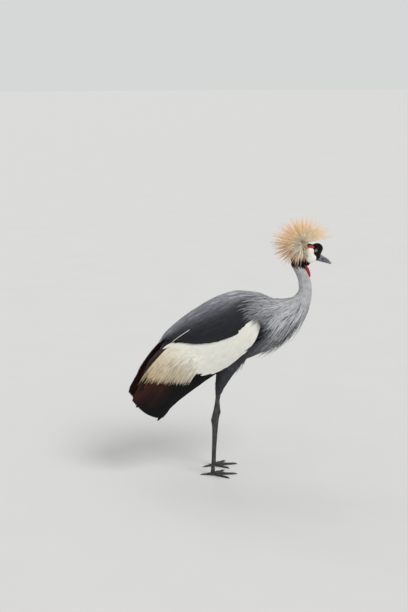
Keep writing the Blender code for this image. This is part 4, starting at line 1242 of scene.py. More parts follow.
class Skin:
    """One skin fused from torso, neck, head, thighs and arms, and the rules to set a coat on it."""

    voxel = 0.0026
    coat_depth = 0.0016
    nodes = ("torso", "neck_lower", "neck_upper", "head", "thigh_right", "thigh_left")
    # Painted shade: how far the skin under the coat is darkened, by the place along the body, so that the
    # gaps between feathers read as shadow.
    shade = ((0, 5.4, 7.6, 8.6, 11, 16), (0.6, 0.55, 0.16, 0.7, 0.85, 0.9))

    def __init__(self) -> None:
        """Builds the skin and what reads it."""
        self.object = fused(self.forms(), "skin", self.voxel, 6)
        mesh = self.object.data
        mesh.calc_loop_triangles()
        self.points = read(mesh.vertices, "co")
        self.normals = read(mesh.vertices, "normal")
        self.triangles = read(mesh.loop_triangles, "vertices", int)
        self.tree = BVHTree.FromPolygons(self.points.tolist(), self.triangles.tolist(), all_triangles=True)
        # Painted shade: the coat's colours, darkened under the coat by place.
        painted(mesh, markings(self.points) * np.interp(AXIS.locate(self.points)[0], *self.shade)[:, None])

    def forms(self) -> Iterator[BMesh]:
        """The closed forms that the skin is fused from."""
        inner = self.coat_depth
        body = Spine(grow=-inner)
        yield wrapped(64, 150, lambda turns, shares: body.point(shares * 12.2, turns * 2 * math.pi))
        yield wrapped(40, 40, self.skull)
        for (centre, radii), less in ((FOREHEAD, inner), (CREST_SKIN, 0.002), (POUCH, inner)):
            yield ball(centre, [radius - less for radius in radii])
        x, z, half, back, _ = smooth(SPINE, NECK_END - 0.15)[0]
        throat = [(x, 0, z, wide - inner, deep - inner) for x, z, wide, deep in ((x, z, half, back), *THROAT)]
        yield wrapped(32, 16, tube_rule(throat))
        for side in Side:
            yield wrapped(32, 48, tube_rule(straight(*leg_joints(side)[:2], THIGH_SIZES, inner)))
            yield self.arm(side)

    def skull(self, turns: Array, shares: Array) -> Array:
        """The skull's rule for wrapped()."""
        at = shares * (len(HEAD_AXIS) - 1)
        rows = smooth(HEAD_AXIS, at)
        ahead = unit(smooth(HEAD_AXIS, at + 0.02)[:, :2] - smooth(HEAD_AXIS, at - 0.02)[:, :2])
        angle = turns * 2 * math.pi
        high = (np.where(np.sin(angle) > 0, rows[:, 3], rows[:, 4]) - self.coat_depth) * np.sin(angle)
        half = (rows[:, 2] - self.coat_depth) * np.cos(angle)
        return np.stack((rows[:, 0] - ahead[:, 1] * high, half, rows[:, 1] + ahead[:, 0] * high), 1)

    def arm(self, side: Side) -> BMesh:
        """The folded arm's flesh, a thick sheet just inside the outline."""
        flank = Flank(side)

        def around(turns: Array, shares: Array) -> Array:
            x, top, bottom, shallow, deep = smooth(ARM, shares * (len(ARM) - 1)).T
            angle = turns * 2 * math.pi
            height = 0.5 - 0.5 * np.cos(angle)
            here, _, _, normal = flank.frame(*flank.place(x, top + (bottom - top) * height))
            depth = (shallow + deep) / 2 + (deep - shallow) / 2 * np.sin(angle)
            return here - normal * (depth + 0.001)[:, None]

        return wrapped(40, 60, around)

    def scatter(self, spacing: float, where: Rule, seed: int) -> tuple[Array, Array]:
        """Evenly strewn roots.

        Args:
            spacing: Rough distance between roots.
            where: Which points of the skin take a root.
            seed: Seed of the draw.

        Returns:
            Points and normals.
        """
        draw = np.random.default_rng(seed)
        corners = self.points[self.triangles]
        centres = corners.mean(axis=1)
        square = np.cross(corners[:, 1] - corners[:, 0], corners[:, 2] - corners[:, 0])
        area = np.linalg.norm(square, axis=1) / 2
        area = area * where(centres)
        count = int(area.sum() / spacing**2 * 4)
        chosen = draw.choice(len(area), count, p=area / area.sum())
        share = draw.random((count, 2))
        share = np.where(share.sum(1, keepdims=True) > 1, 1 - share, share)
        weights = np.column_stack((1 - share.sum(1), share))[:, :, None]
        points = (corners[chosen] * weights).sum(1)
        normals = unit((self.normals[self.triangles[chosen]] * weights).sum(1))
        cells = np.floor(points / spacing).astype(np.int64)
        _, kept = np.unique(cells @ np.array(CELL_PRIMES), return_index=True)
        kept.sort()
        return points[kept], normals[kept]

    def comb(
        self, roots: Array, normals: Array, lengths: Array, steps: int, sink: float, flow: Rule = lie
    ) -> Lay:
        """Paths that follow the skin from their roots along the lie of the coat.

        Args:
            roots: Where the feathers grow.
            normals: The skin's normals there.
            lengths: Their lengths.
            steps: Stretches of each path.
            sink: How far the roots are sunk.
            flow: Rule of the lie.

        Returns:
            The paths.
        """
        here, out = roots, normals.copy()
        points, outs = [here - out * sink], [out]
        stride = (lengths / steps)[:, None]
        for _ in range(steps):
            go = flow(here)
            go = unit(go - out * np.sum(go * out, axis=1, keepdims=True))
            here = here + go * stride
            for k, spot in enumerate(here):
                here[k], out[k], _, _ = self.tree.find_nearest(spot)
            out = unit(out)
            points.append(here)
            outs.append(out.copy())
        place, angle, _ = AXIS.locate(roots)
        return Lay(np.stack(points, 1), np.stack(outs, 1), np.column_stack((place, angle)))


# Coat

@dataclass(frozen=True)
class Plumage:
    """One kind of feather of the body: where it grows and how it looks."""

    name: str
    slot: str
    seed: int
    spacing: float
    where: Rule
    length: Rule
    half_width: float
    form: Form
    # Heights of middle and tip over the skin.
    lift: tuple[float, float]
    steps: int = 2
    # How much feathers differ in brightness, and how bright the root is.
    tone: float = 0.12
    root: float = 0.75
    # Whether it flows over the fronts of the wings, and the share of much darker feathers.
    cloak: bool = False
    dark: float = 0.0

    def build(self, skin: Skin, material: Material) -> None:
        """Strews, combs and shows the feathers."""
        draw = np.random.default_rng(self.seed)
        roots, normals = skin.scatter(self.spacing, self.where, self.seed)
        count = len(roots)
        lengths = self.length(roots) * draw.uniform(0.8, 1.15, count)
        lay = skin.comb(roots, normals, lengths, self.steps, 0.001)
        if self.cloak:
            lay = over_wings(lay)
        heights = lay.profile(0.0, *self.lift)
        lay = lay.lifted(heights * draw.uniform(0.5, 1.4, (count, 1)))
        swing = np.cross(lay.normals, lay.points[:, -1:] - lay.points[:, :1])
        lay.points += swing * (lay.shares**2)[None, :, None] * draw.normal(0, 0.10, (count, 1, 1))
        colour = markings(roots)[:, None]
        low = step(np.abs(lay.roots[:, 1]), 0.7, 1.6)
        colour = np.where((draw.random(count) < self.dark * low)[:, None, None], colour * 0.28, colour)
        lay.points -= lay.normals * (np.maximum(heights - 0.002, 0) * (0.6 * (1 - low))[:, None])[..., None]
        half = self.half_width * draw.uniform(0.8, 1.2, count)
        tint = varied(draw, np.concatenate((colour * self.root, colour, colour * 1.05), 1), self.tone)
        roll = draw.normal(0, 0.2, count)
        Grove.show(feathers(self.name, lay, self.form, half, tint, roll, self.seed), self.slot, material)


def all_long(length: float) -> Rule:
    """The rule that gives every feather the same length."""
    return lambda points: np.full(len(points), length)


def on_neck(points: Array) -> Array:
    """Which points are on the neck, up to the black of the head."""
    place, angle, _ = AXIS.locate(points)
    return (place > 7.6) & (place < 12.6) & (points[:, 2] < black_edge(angle) + 0.004)


def on_mantle(points: Array) -> Array:
    """Which points are on lower neck, mantle and chest."""
    place, angle, _ = AXIS.locate(points)
    low = np.where(np.abs(angle) > 1.9, 4.6, 5.2)
    return (place > low) & (place < 8.6) & (thigh_share(points)[0] < 0.1)


def mantle_length(points: Array) -> Array:
    """Lengths of the mantle's plumes, shorter beside the white band and longer on the chest."""
    place, angle, _ = AXIS.locate(points)
    long = 0.085 + 0.03 * step(place, 8.4, 6.5)
    beside = step(np.abs(angle), 0.85, 1.15) * step(np.abs(angle), 2.0, 1.75)
    return long * (1 - 0.58 * step(place, 6.9, 5.6) * beside) * (0.8 + 0.35 * belly_share(angle))


def on_chest(points: Array) -> Array:
    """Which points are on the front of the chest."""
    place, angle, _ = AXIS.locate(points)
    return (place > 6.3) & (place < 8.5) & (np.abs(angle) > 1.75)


def on_belly(points: Array) -> Array:
    """Which points are on belly, flanks and rump, outside what the wings cover."""
    place, angle, _ = AXIS.locate(points)
    covered = (np.abs(angle) > 0.75) & (np.abs(angle) < 1.75) & (place > 0.8) & (place < 5.4)
    return (place < 6.0) & ~covered & (thigh_share(points)[0] < 0.6)


BODY_COAT = (
    Plumage("neck_feathers", "feather_grey", 21, 0.0025, on_neck, all_long(0.020), 0.0012, NECK_FORM,
            (0.0008, 0.0011), root=0.95),
    Plumage("mantle_plumes", "feather_grey", 22, 0.0056, on_mantle, mantle_length, 0.0021, PLUME_FORM,
            (0.0040, 0.0062), steps=5, tone=0.26, root=0.5, cloak=True, dark=0.14),
    Plumage("chest_fringe", "feather_grey", 25, 0.0100, on_chest, all_long(0.128), 0.0019, PLUME_FORM,
            (0.0080, 0.0200), steps=5, tone=0.35, root=0.6, dark=0.3),
    Plumage("body_feathers", "feather_slate", 23, 0.0062, on_belly, all_long(0.032), 0.0042, DOWN_FORM,
            (0.0022, 0.0034), tone=0.22, root=0.6),
    Plumage("thigh_feathers", "feather_slate", 24, 0.0042, lambda points: thigh_share(points)[0] > 0.5,
            all_long(0.020), 0.0024, DOWN_FORM, (0.0014, 0.0018), tone=0.2, root=0.7),
)


class Wing:
    """One folded wing: scapulars, white coverts, straw plumes and flight feathers."""

    scapular_tiers = scapular_rows = covert_rows = 22
    covert_tiers = 24
    hem = 30
    straw_count = 1300
    straw_tufts = 34
    secondary_count = 26
    tertial_count = 7
    primary_count = 11

    def __init__(self, side: Side) -> None:
        """Sets up the outline and the draws."""
        self.side = side
        self.flank = Flank(side)
        self.draw = np.random.default_rng(31 + side.value)

    def show(
        self, kind: str, slot: str, material: Material, lay: Lay, form: Form, half_width: Array | float,
        tint: Array, roll: float, seed: int, *nodes: str,
    ) -> None:
        """Makes and shows one piece. A roll above 0 lowers the vanes' outer edges on either side."""
        roll = roll * self.side.value
        made = feathers(f"{kind}_{self.side.word}", lay, form, half_width, tint, roll, seed)
        Grove.show(made, slot, material, *nodes)

    def grid(self, tiers: int, rows: int, low: float = 0.0, high: float = 1.0) -> tuple[Array, Array]:
        """Tier and row shares of a staggered field."""
        tier, row = np.meshgrid(np.arange(tiers), np.arange(rows), indexing="ij")
        share = (row + 0.5 * (tier % 2)) / (rows - 0.5)
        jitter = self.draw.uniform(-0.25, 0.25, (2, tiers, rows))
        place = (tier + jitter[0]) / (tiers - 1)
        return place.reshape(-1), low + (high - low) * (share + jitter[1] / rows).reshape(-1)

    def scapulars(self, material: Material) -> None:
        """Long slate feathers from the middle of the back down to the white band."""
        place, share = self.grid(self.scapular_tiers, self.scapular_rows)
        place = np.concatenate((place, np.linspace(0, 1, self.hem)))
        share = np.concatenate((np.maximum(share, 0.0), np.zeros(self.hem)))
        at = np.clip(place, 0, 1.02) * 6
        low, high = smooth(SCAPULAR_LOW, at), smooth(SCAPULAR_HIGH, at)
        way = -blend(run_along(SCAPULAR_LOW, at), run_along(SCAPULAR_HIGH, at), share**0.7)
        heading = np.stack((way[:, 0], np.zeros(len(way)), way[:, 1] + 0.16 * (1 - share)), 1)
        length = (0.095 + 0.030 * (1 - share) + 0.035 * place) * self.draw.uniform(0.9, 1.1, len(place))
        u, edge = self.flank.place(low[:, 0], low[:, 1])
        u = u + (place_of(FLANK, high[:, 0]) - u) * share
        points, normals = self.flank.walk(u, edge * (1 - share) - 0.05 * share, heading, length, 5)
        lay = Lay(points[:, ::-1], normals[:, ::-1], np.column_stack((place, share)))
        order = 0.0034 - 0.0020 * place + 0.0012 * share
        heights = lay.profile(-0.012, -0.002, 0.0, 0.35) + order[:, None]
        heights = heights + self.draw.uniform(-0.0005, 0.0005, (len(place), 1))
        # Painted light and shade over the scapulars' own slate: darkest at the lowest rows and lightest at
        # the top, as light falls from above.
        base = blend(blend(DEEP_SLATE_AND_SHADE, SLATE, step(share, 0.12, 0.62)), BACK_GREY_AND_TOP_LIGHT, step(share, 0.34, 0.92))
        base = blend(base, MANTLE_GREY, step(share, 0.35, 0.95) * step(place, 0.60, 0.05))
        pale = (self.draw.random(len(place)) < 0.16) * step(share, 0.3, 0.7)
        base = base * (1 + 0.7 * pale)[:, None]
        tint = varied(self.draw, base[:, None] * np.array((0.75, 1.0, 1.05))[None, :, None], 0.22)
        half = 0.0080 * self.draw.uniform(0.8, 1.15, len(place))
        lay = lay.lifted(heights)
        self.show("scapulars", "feather_slate", material, lay, SCAPULAR_FORM, half, tint, 0.06, 41)

    def coverts(self, material: Material) -> None:
        """Silky white coverts of the band, tier over tier."""
        place, share = self.grid(self.covert_tiers, self.covert_rows, 0.03, 0.97)
        at = np.clip(place, -0.02, 1) * 6
        top, bottom = smooth(BAND_TOP, at), smooth(BAND_BOTTOM, at)
        way = blend(run_along(BAND_TOP, at), run_along(BAND_BOTTOM, at), share)
        heading = np.stack((way[:, 0], np.zeros(len(way)), way[:, 1]), 1)
        u, v = self.flank.place(*(top + (bottom - top) * share[:, None]).T)
        length = 0.068 * self.draw.uniform(0.9, 1.1, len(place))
        lay = Lay(*self.flank.walk(u, v, heading, length, 4), np.column_stack((place, share)))
        heights = lay.profile(-0.0075, -0.0036, -0.0028, 0.4) - 0.0012 * place[:, None]
        heights = heights + self.draw.uniform(-0.0002, 0.0002, (len(place), 1))
        base = blend(WHITE, CREAM, 0.30 * step(place, 0.6, 1.1))
        tint = varied(self.draw, base[:, None] * np.array((0.94, 1.0, 0.98))[None, :, None], 0.035)
        lay = lay.lifted(heights)
        node = f"wing_{self.side.word}"
        self.show("white_coverts", "feather_white", material, lay, COVERT_FORM, 0.0066, tint, 0.0, 42, node)

    def hanging(
        self, root: Array, tip: Array, start: Array, end: Array, bow: Array | float, steps: int
    ) -> Lay:
        """Paths over the outline between roots and tips that are seen from the side.

        Args:
            root: x and z of the roots.
            tip: x and z of the tips.
            start: Depths of the roots under the outline.
            end: Depths of the tips.
            bow: How far the middle is raised.
            steps: Stretches of each path.
        """
        shares = np.linspace(0, 1, steps + 1)
        flat = root[:, None] + (tip - root)[:, None] * shares[None, :, None]
        flat[..., 1] += np.asarray(bow).reshape(-1, 1) * np.sin(math.pi * shares)[None]
        u, v = self.flank.place(*flat.reshape(-1, 2).T)
        sunk = start[:, None] * (1 - shares) + end[:, None] * shares
        return self.laid(u, np.maximum(v, 0.5), sunk, root)

    def laid(self, u: Array, v: Array, sunk: Array, roots: Array) -> Lay:
        """Paths through places on the outline, sunk by feather and station."""
        here, _, _, normal = self.flank.frame(u, v)
        here, normal = here.reshape(*sunk.shape, 3), normal.reshape(*sunk.shape, 3)
        return Lay(here - normal * sunk[..., None], normal, roots)

    def straws(self, material: Material) -> None:
        """Hair-like straw plumes that hang from the wing's hind edge, over a few white streaks."""
        count = self.straw_count
        along, low = self.draw.random(count), self.draw.random(count)
        rise = 0.470 + 0.028 * along - 0.055 * low * (1 - 0.35 * along)
        root = np.column_stack((-0.030 - 0.112 * along, rise))
        tuft = np.round(along * self.straw_tufts) / self.straw_tufts
        fall = self.draw.normal(0, 0.004, (count, 2))
        tip = np.column_stack((-0.092 - 0.172 * tuft, 0.366 + 0.010 * tuft)) + fall
        tip[:, 1] += 0.055 * self.draw.random(count) ** 1.7 - 0.018 * np.abs(np.sin(tuft * 57))
        end = 0.0042 - 0.0052 * self.draw.random(count)
        streaks = np.array(STREAKS)
        extra = len(streaks)
        root, tip = np.concatenate((root, streaks[:, :2])), np.concatenate((tip, streaks[:, 2:]))
        start = np.append(np.full(count, 0.0050), np.full(extra, -0.0046))
        end = np.append(end, np.full(extra, -0.0052))
        bow = np.append(0.010 + 0.012 * along, np.full(extra, -0.003))
        along = np.append(along, np.zeros(extra))
        lay = self.hanging(root, tip, start, end, bow, 5)
        chance = self.draw.random((3, len(root)))
        base = blend(WHITE, CREAM, 0.5 * step(along, 0.4, 1.0))
        middle = blend(base, STRAW, 0.9 * along**1.3 * chance[0])
        last = blend(blend(blend(WHITE, CREAM, 0.6), STRAW, 0.15 + 0.8 * along), TAWNY, 0.9 * chance[1] ** 2)
        tint = np.stack((base, middle, last), 1)
        tint[count:] = WHITE
        half = 0.0009 + 0.0012 * chance[2]
        half[count:] = 0.0011
        tint = varied(self.draw, tint, 0.12)
        self.show("straw_plumes", "feather_white", material, lay, STRAW_FORM, half, tint, 0.0, 43)

    def secondaries(self, material: Material) -> None:
        """Chestnut secondaries with black ends."""
        share = np.linspace(0, 1, self.secondary_count)
        root = np.column_stack((-0.040 - 0.100 * share, 0.440 + 0.035 * share))
        tip = np.column_stack((-0.180 - 0.112 * share, 0.222 + 0.006 * share + 0.062 * share**2.5))
        lay = self.hanging(root, tip, np.full(len(share), 0.0102), 0.0120 - 0.0080 * share, 0.012, 8)
        red = blend(BLACK, CHESTNUT, step(share, 0.25, 0.90))
        end = blend(BLACK, CHESTNUT, step(share, 0.8, 1.0) * 0.5)
        tint = np.stack((red, red, red, blend(red, end, np.full(len(share), 0.6)), end), 1)
        tint = varied(self.draw, tint, 0.15)
        self.show("secondaries", "feather_black", material, lay, FLIGHT_FORM, 0.0175, tint, 0.08, 44)

    def tertials(self, material: Material) -> None:
        """Broad brown feathers that close the wing's roof over the tail."""
        share = np.linspace(0, 1, self.tertial_count)
        columns = ([np.interp(share, (0, 0.5, 1), column) for column in zip(*rows)] for rows in TERTIALS)
        root, tip = (np.array(some).T for some in columns)
        path = root[:, None] + (tip - root)[:, None] * np.linspace(0, 1, 7)[None, :, None]
        x, v, depth = path.reshape(-1, 3).T
        lay = self.laid(place_of(FLANK, x), v, depth.reshape(path.shape[:2]), np.column_stack((share, share)))
        tint = varied(self.draw, graded(len(share), CHESTNUT, CHESTNUT, BLACK), 0.2)
        self.show("tertials", "feather_black", material, lay, FLIGHT_FORM, 0.0190, tint, 0.05, 46)

    def primaries(self, material: Material) -> None:
        """Black primaries stacked under the wing's lower edge."""
        share = np.linspace(0, 1, self.primary_count)
        root = np.column_stack((0.075 - 0.055 * share, 0.450 - 0.006 * share))
        tip = np.column_stack((-0.125 - 0.077 * share, 0.308 - 0.098 * share))
        bow = -0.012 * (1 - share)
        lay = self.hanging(root, tip, np.full(len(share), 0.0125), 0.0260 - 0.0100 * share, bow, 8)
        tint = varied(self.draw, graded(len(share), BLACK, BLACK, BLACK), 0.3)
        self.show("primaries", "feather_black", material, lay, FLIGHT_FORM, 0.0165, tint, 0.0, 45)

    def build(self, finishes: dict[str, Material]) -> None:
        """Makes and shows the wing's pieces."""
        self.scapulars(finishes["vane"])
        self.coverts(finishes["silk"])
        self.straws(finishes["hair"])
        for make in (self.secondaries, self.tertials, self.primaries):
            make(finishes["quill"])


class Tail:
    """Twelve black tail feathers, folded."""

    count = 12

    def build(self, material: Material) -> None:
        """Makes and shows the tail."""
        share = np.linspace(-1, 1, self.count)
        down, back = unit(np.array((-0.42, 0.0, -0.91))), np.array((-0.91, 0.0, 0.42))
        level = 0.0005 + 0.0030 * (1 - np.abs(share))
        start = np.array((SPINE[0][0] - 0.020, 0.0, SPINE[0][1] - 0.028)) + back * level[:, None]
        start[:, 1] = 0.022 * share
        heading = unit(down + share[:, None] * (0.0, 0.035, 0.0))
        length = (0.178 - 0.012 * share**2)[:, None] * np.linspace(0, 1, 9)
        points = start[:, None] + heading[:, None] * length[..., None]
        lay = Lay(points, np.broadcast_to(back, points.shape), np.column_stack((share, level)))
        tint = graded(self.count, BLACK, BLACK, BLACK)
        roll = np.where(share > 0, -0.2, 0.2)
        made = feathers("tail_feathers", lay, FLIGHT_FORM, 0.0105, tint, roll, 51)
        Grove.show(made, "feather_black", material, "tail")


@dataclass
class HeadCoat:
    """Velvet of face, forehead and throat."""

    skin: Skin
    seed: int = 61

    @staticmethod
    def where(points: Array) -> Array:
        """Which points are black: all of the head but bare skin, eyes, crest and bill."""
        place, angle, _ = AXIS.locate(points)
        taken = (points[:, 0] > 0.3875) & (points[:, 2] < 0.787)
        taken |= np.sqrt(reach(points, CREST_SKIN)) < 0.99
        for lobe in (*CHEEK_LOBES, BROW_LOBE, (EYE, (0.0080, 0.0090, 0.0080))):
            taken |= reach(np.abs(points), lobe) < 0.95
        return (points[:, 2] > black_edge(angle) - 0.003) & (place > 10.5) & ~taken

    def build(self, material: Material) -> None:
        """Makes and shows the velvet."""
        draw = np.random.default_rng(self.seed)
        roots, normals = self.skin.scatter(0.0014, self.where, self.seed)
        lay = self.skin.comb(roots, normals, draw.uniform(0.0042, 0.0062, len(roots)), 2, 0.0004)
        lay = lay.lifted(lay.profile(0.0, 0.0011, 0.0016) * draw.uniform(0.7, 1.3, (len(roots), 1)))
        tint = varied(draw, graded(len(roots), BLACK, SOFT_BLACK), 0.4)
        made = feathers("head_velvet", lay, VELVET_FORM, 0.0006, tint, 0.0, self.seed)
        Grove.show(made, "feather_black", material)


@dataclass
class Crest:
    """The golden crown of stiff bristles."""

    skin: Skin
    bristles: int = 2700
    gathered: int = 300

    def build(self, material: Material) -> None:
        """Makes and shows the crown and the short bristles below it."""
        self.crown(material)
        self.short(material)

    def crown(self, material: Material) -> None:
        """Long bristles from the focus out to all sides, their ends gathered to tufts."""
        draw = np.random.default_rng(71)
        focus, centre, radii = (np.array(values) for values in (CREST_FOCUS, *CREST_SKIN))
        aim, turn, height = spiral(self.bristles)
        tufts = self.tufts()
        tuft = tufts[np.argmax(aim @ tufts.T, axis=1)]
        aim = unit(aim + draw.normal(0, 0.05, aim.shape))
        out = focus - centre
        a = np.sum((aim / radii) ** 2, axis=1)
        b = np.sum(aim * out / radii**2, axis=1)
        c = np.sum((out / radii) ** 2) - 1
        leave = (-b + np.sqrt(b * b - a * c)) / a
        length = CREST_LENGTH * (1 - 0.10 * np.abs(aim[:, 1]) - 0.20 * np.abs(aim[:, 2]))
        length = length * (1.06 - 0.42 * draw.random(self.bristles) ** 1.4)
        shares = np.linspace(0, 1, 4)
        away = (leave - 0.002)[:, None] * (1 - shares) + length[:, None] * shares
        gather = (0.60 * shares)[None, :, None]
        way = unit(aim[:, None] * (1 - gather) + tuft[:, None] * gather)
        points = focus + way * away[..., None]
        sideways = unit(np.cross(aim, draw.normal(0, 1, aim.shape)))
        keep = self.clear(points[:, 1:]) & self.off_face(aim) & self.off_face(way[:, -1])
        points, aim, sideways = points[keep], aim[keep], sideways[keep]
        normals = np.broadcast_to(sideways[:, None], points.shape)
        lay = Lay(points, normals, np.column_stack((turn % (2 * math.pi), height))[keep])
        tint = varied(draw, self.colours(aim), 0.16)
        made = feathers("crest_bristles", lay, BRISTLE_FORM, BRISTLE_HALF_WIDTH, tint, 0.0, 71)
        Grove.show(made, "crest_gold", material, "crest")

    @staticmethod
    def colours(aim: Array) -> Array:
        """Cream at the root, straw above and peach gold behind, by each direction, with painted shade that
        browns the bristles below and a painted highlight that keeps those aimed to the sides cream.
        """
        # Painted shade: bristles aimed down and back turn brown.
        low = step(-aim[:, 2] - 0.55 * aim[:, 0], 0.05, 0.75)
        # Painted highlight: bristles aimed to the sides stay cream all along, for a lit centre.
        aside = step(np.abs(aim[:, 1]), 0.35, 0.85)
        tip = blend(STRAW_GOLD, GOLD, step(-aim[:, 0], -0.3, 0.6))
        tip = blend(blend(tip, SHADED_BROWN_GOLD, low * 0.45), CREST_CREAM, aside * 0.8)
        middle = blend(blend(PALE_GOLD, tip, 0.15 + 0.5 * low), CREST_CREAM, aside * 0.8)
        return np.stack((np.broadcast_to(CREST_CREAM, tip.shape), middle, tip), 1)

    def short(self, material: Material) -> None:
        """Short bristles that sweep from the crown down over the side of the head."""

        def where(points: Array) -> Array:
            return (points[:, 0] < 0.333) & (points[:, 2] > 0.782)

        def flow(points: Array) -> Array:
            return unit(points - np.array(CREST_FOCUS) + (0.004, 0.0, 0.0))

        draw = np.random.default_rng(73)
        roots, normals = self.skin.scatter(0.0022, where, 73)
        lay = self.skin.comb(roots, normals, draw.uniform(0.010, 0.022, len(roots)), 3, 0.001, flow)
        lay = lay.lifted(lay.profile(0.0, 0.0045, 0.0120) * draw.uniform(0.4, 1.6, (len(roots), 1)))
        tint = varied(draw, graded(len(roots), CREST_CREAM, CREST_CREAM, PALE_GOLD), 0.1)
        made = feathers("crest_down", lay, BRISTLE_FORM, BRISTLE_HALF_WIDTH, tint, 0.0, 73)
        Grove.show(made, "crest_gold", material)

    def tufts(self) -> Array:
        """Directions that the bristles' ends gather towards."""
        wobble = np.random.default_rng(72).normal(0, 0.05, (self.gathered, 3))
        return unit(spiral(self.gathered, 0.7)[0] + wobble)

    @staticmethod
    def off_face(aim: Array) -> Array:
        """Which directions leave cheeks, brows and forehead free."""
        aside = np.abs(aim[:, 1])
        ahead = 0.985 * aim[:, 0] + 0.174 * aside
        rise = 0.035 * aim[:, 0] - 0.200 * aside + 0.979 * aim[:, 2]
        return ~((ahead > -0.05) & (rise < 0.10 * ahead + 0.05))

    @staticmethod
    def clear(points: Array) -> Array:
        """Which bristles miss the head and the neck."""
        return np.all([(reach(points, lobe) >= 1).all(axis=1) for lobe in CREST_BLOCKS], axis=0)


# Face

@dataclass(frozen=True)
class Face:
    """Cheeks, brows, eyes, lids, bill and wattle."""

    def lobes(self, kind: str, side: Side, lobes: Sequence[Lobe], voxel: float, material: Material) -> None:
        """Bare skin of rounded lobes that run into one another."""
        forms = [ball(side.mirrored(centre), radii) for centre, radii in lobes]
        made = fused(forms, f"{kind}_skin_{side.word}", voxel, 24)
        Grove.show(made, "skin_white" if kind == "cheek" else "skin_red", material, f"{kind}_{side.word}")

    def eye(self, side: Side) -> None:
        """The eyeball with its cornea."""
        centre = Vector(side.mirrored(EYE))
        bm = bmesh.new()
        bmesh.ops.create_uvsphere(bm, u_segments=40, v_segments=28, radius=EYE_RADIUS)
        bmesh.ops.rotate(bm, verts=bm.verts, matrix=Matrix.Rotation(math.pi / 2, 3, "X"))
        for vert in bm.verts:
            off = math.hypot(vert.co.x, vert.co.z)
            if off < CORNEA_RADIUS:
                vert.co.y *= 1 + 0.05 * (1 - (off / CORNEA_RADIUS) ** 2)
        bmesh.ops.translate(bm, verts=bm.verts, vec=centre)
        finish = EyeFinish(f"eye_{side.word}", tuple(centre + Grove.shift)).build()
        Grove.show(object_of(bm, f"eyeball_{side.word}"), "eye", finish, f"eye_{side.word}")

    def lid(self, side: Side, material: Material) -> None:
        """The two lids, a ring of soft skin with a fold, closer above than below."""

        def around(turns: Array, shares: Array) -> Array:
            angle, section = turns * 2 * math.pi, shares * 2 * math.pi
            rim = np.stack((LID_OPENING[0] * np.cos(angle), 0 * angle, LID_OPENING[1] * np.sin(angle)), 1)
            thick = 0.0013 + 0.0004 * np.sin(angle)
            fold = 1 + 0.10 * np.cos(3 * section)
            made = rim + unit(rim) * ((0.0006 + thick * np.cos(section)) * fold)[:, None]
            size = np.linalg.norm(made[:, [0, 2]], axis=1)
            ahead = np.sqrt(np.maximum(EYE_RADIUS**2 - np.minimum(size, EYE_RADIUS) ** 2, 0))
            made[:, 1] = side.value * (ahead * 0.9 + 0.0004 + thick * np.sin(section))
            return made + side.mirrored(EYE)

        Grove.show(object_of(wrapped(48, 14, around, True), f"lids_{side.word}"), "feather_black", material)

    def bill(self, upper: bool, material: Material) -> None:
        """One half of the bill, with nostril grooves in the upper one."""
        base, tip = np.array(BILL_BASE), np.array(BILL_TIP)
        along = tip - base
        ahead = unit(along)
        up = np.array((-ahead[2], 0, ahead[0]))
        sign = 1 if upper else -1
        places, halves, highs, lows = np.array(BILL_STATIONS).T

        def around(turns: Array, shares: Array) -> Array:
            half = np.interp(shares, places, halves)
            depth = np.interp(shares, places, highs if upper else lows)
            centre = base + along * shares[:, None] + up * (-BILL_SAG * shares**3 + sign * SEAM / 2)[:, None]
            angle = turns * 2 * math.pi
            rise = np.where(np.sin(angle) > 0, powered(np.sin(angle), 0.92), 0.0)
            out = half * np.cos(angle)
            if upper:
                groove = np.exp(-(((shares - 0.41) / 0.11) ** 2)) * np.exp(-(((rise - 0.40) / 0.15) ** 2))
                out = out * (1 - 0.42 * groove)
            made = centre + up * (sign * depth * rise)[:, None]
            made[:, 1] += out
            return made

        piece = object_of(wrapped(48, 60, around), "bill_ridge" if upper else "bill_jaw")
        Grove.show(piece, "bill_horn", material, "bill_upper" if upper else "bill_lower")

    def fold(self, side: Side) -> BMesh:
        """One rippled fold of the wattle."""
        rule = tube_rule([(x, side.value * off, z, wide, deep) for x, off, z, wide, deep in WATTLE])

        def folded(turns: Array, shares: Array) -> Array:
            made = rule(turns, shares)
            axis = rule(turns * 0, shares) * 0.5 + rule(turns * 0 + 0.5, shares) * 0.5
            ripple = 1 + 0.10 * np.sin(shares * 46 + 2 * np.sin(turns * 6.28)) * np.sin(math.pi * shares)
            return axis + (made - axis) * ripple[:, None]

        return wrapped(28, 60, folded)

    def build(self) -> None:
        """Makes and shows the face."""
        white, red, dark = (BareSkinFinish(*values).build() for values in (
            ("bare_white_skin", (0.88, 0.85, 0.82), (0.72, 0.62, 0.58), 1500.0),
            ("bare_red_skin", (0.50, 0.018, 0.022), (0.22, 0.006, 0.010), 1100.0, 0.36, 0.0003),
            ("dark_lid_skin", (0.030, 0.030, 0.032), (0.010, 0.010, 0.011), 1200.0, 0.45),
        ))
        hollow = tuple(Vector(NOSTRIL) + Grove.shift)
        horn = HornFinish("bill_horn", (0.27, 0.29, 0.33), (0.070, 0.075, 0.090), 0.42, hollow).build()
        for side in Side:
            self.lobes("cheek", side, (*CHEEK_LOBES, CHEEK_WAIST), 0.0008, white)
            self.lobes("brow", side, (BROW_LOBE,), 0.0006, red)
            self.eye(side)
            self.lid(side, dark)
        self.bill(True, horn)
        self.bill(False, horn)
        Grove.show(joined([self.fold(side) for side in Side], "throat_wattle"), "skin_red", red, "wattle")


# Legs

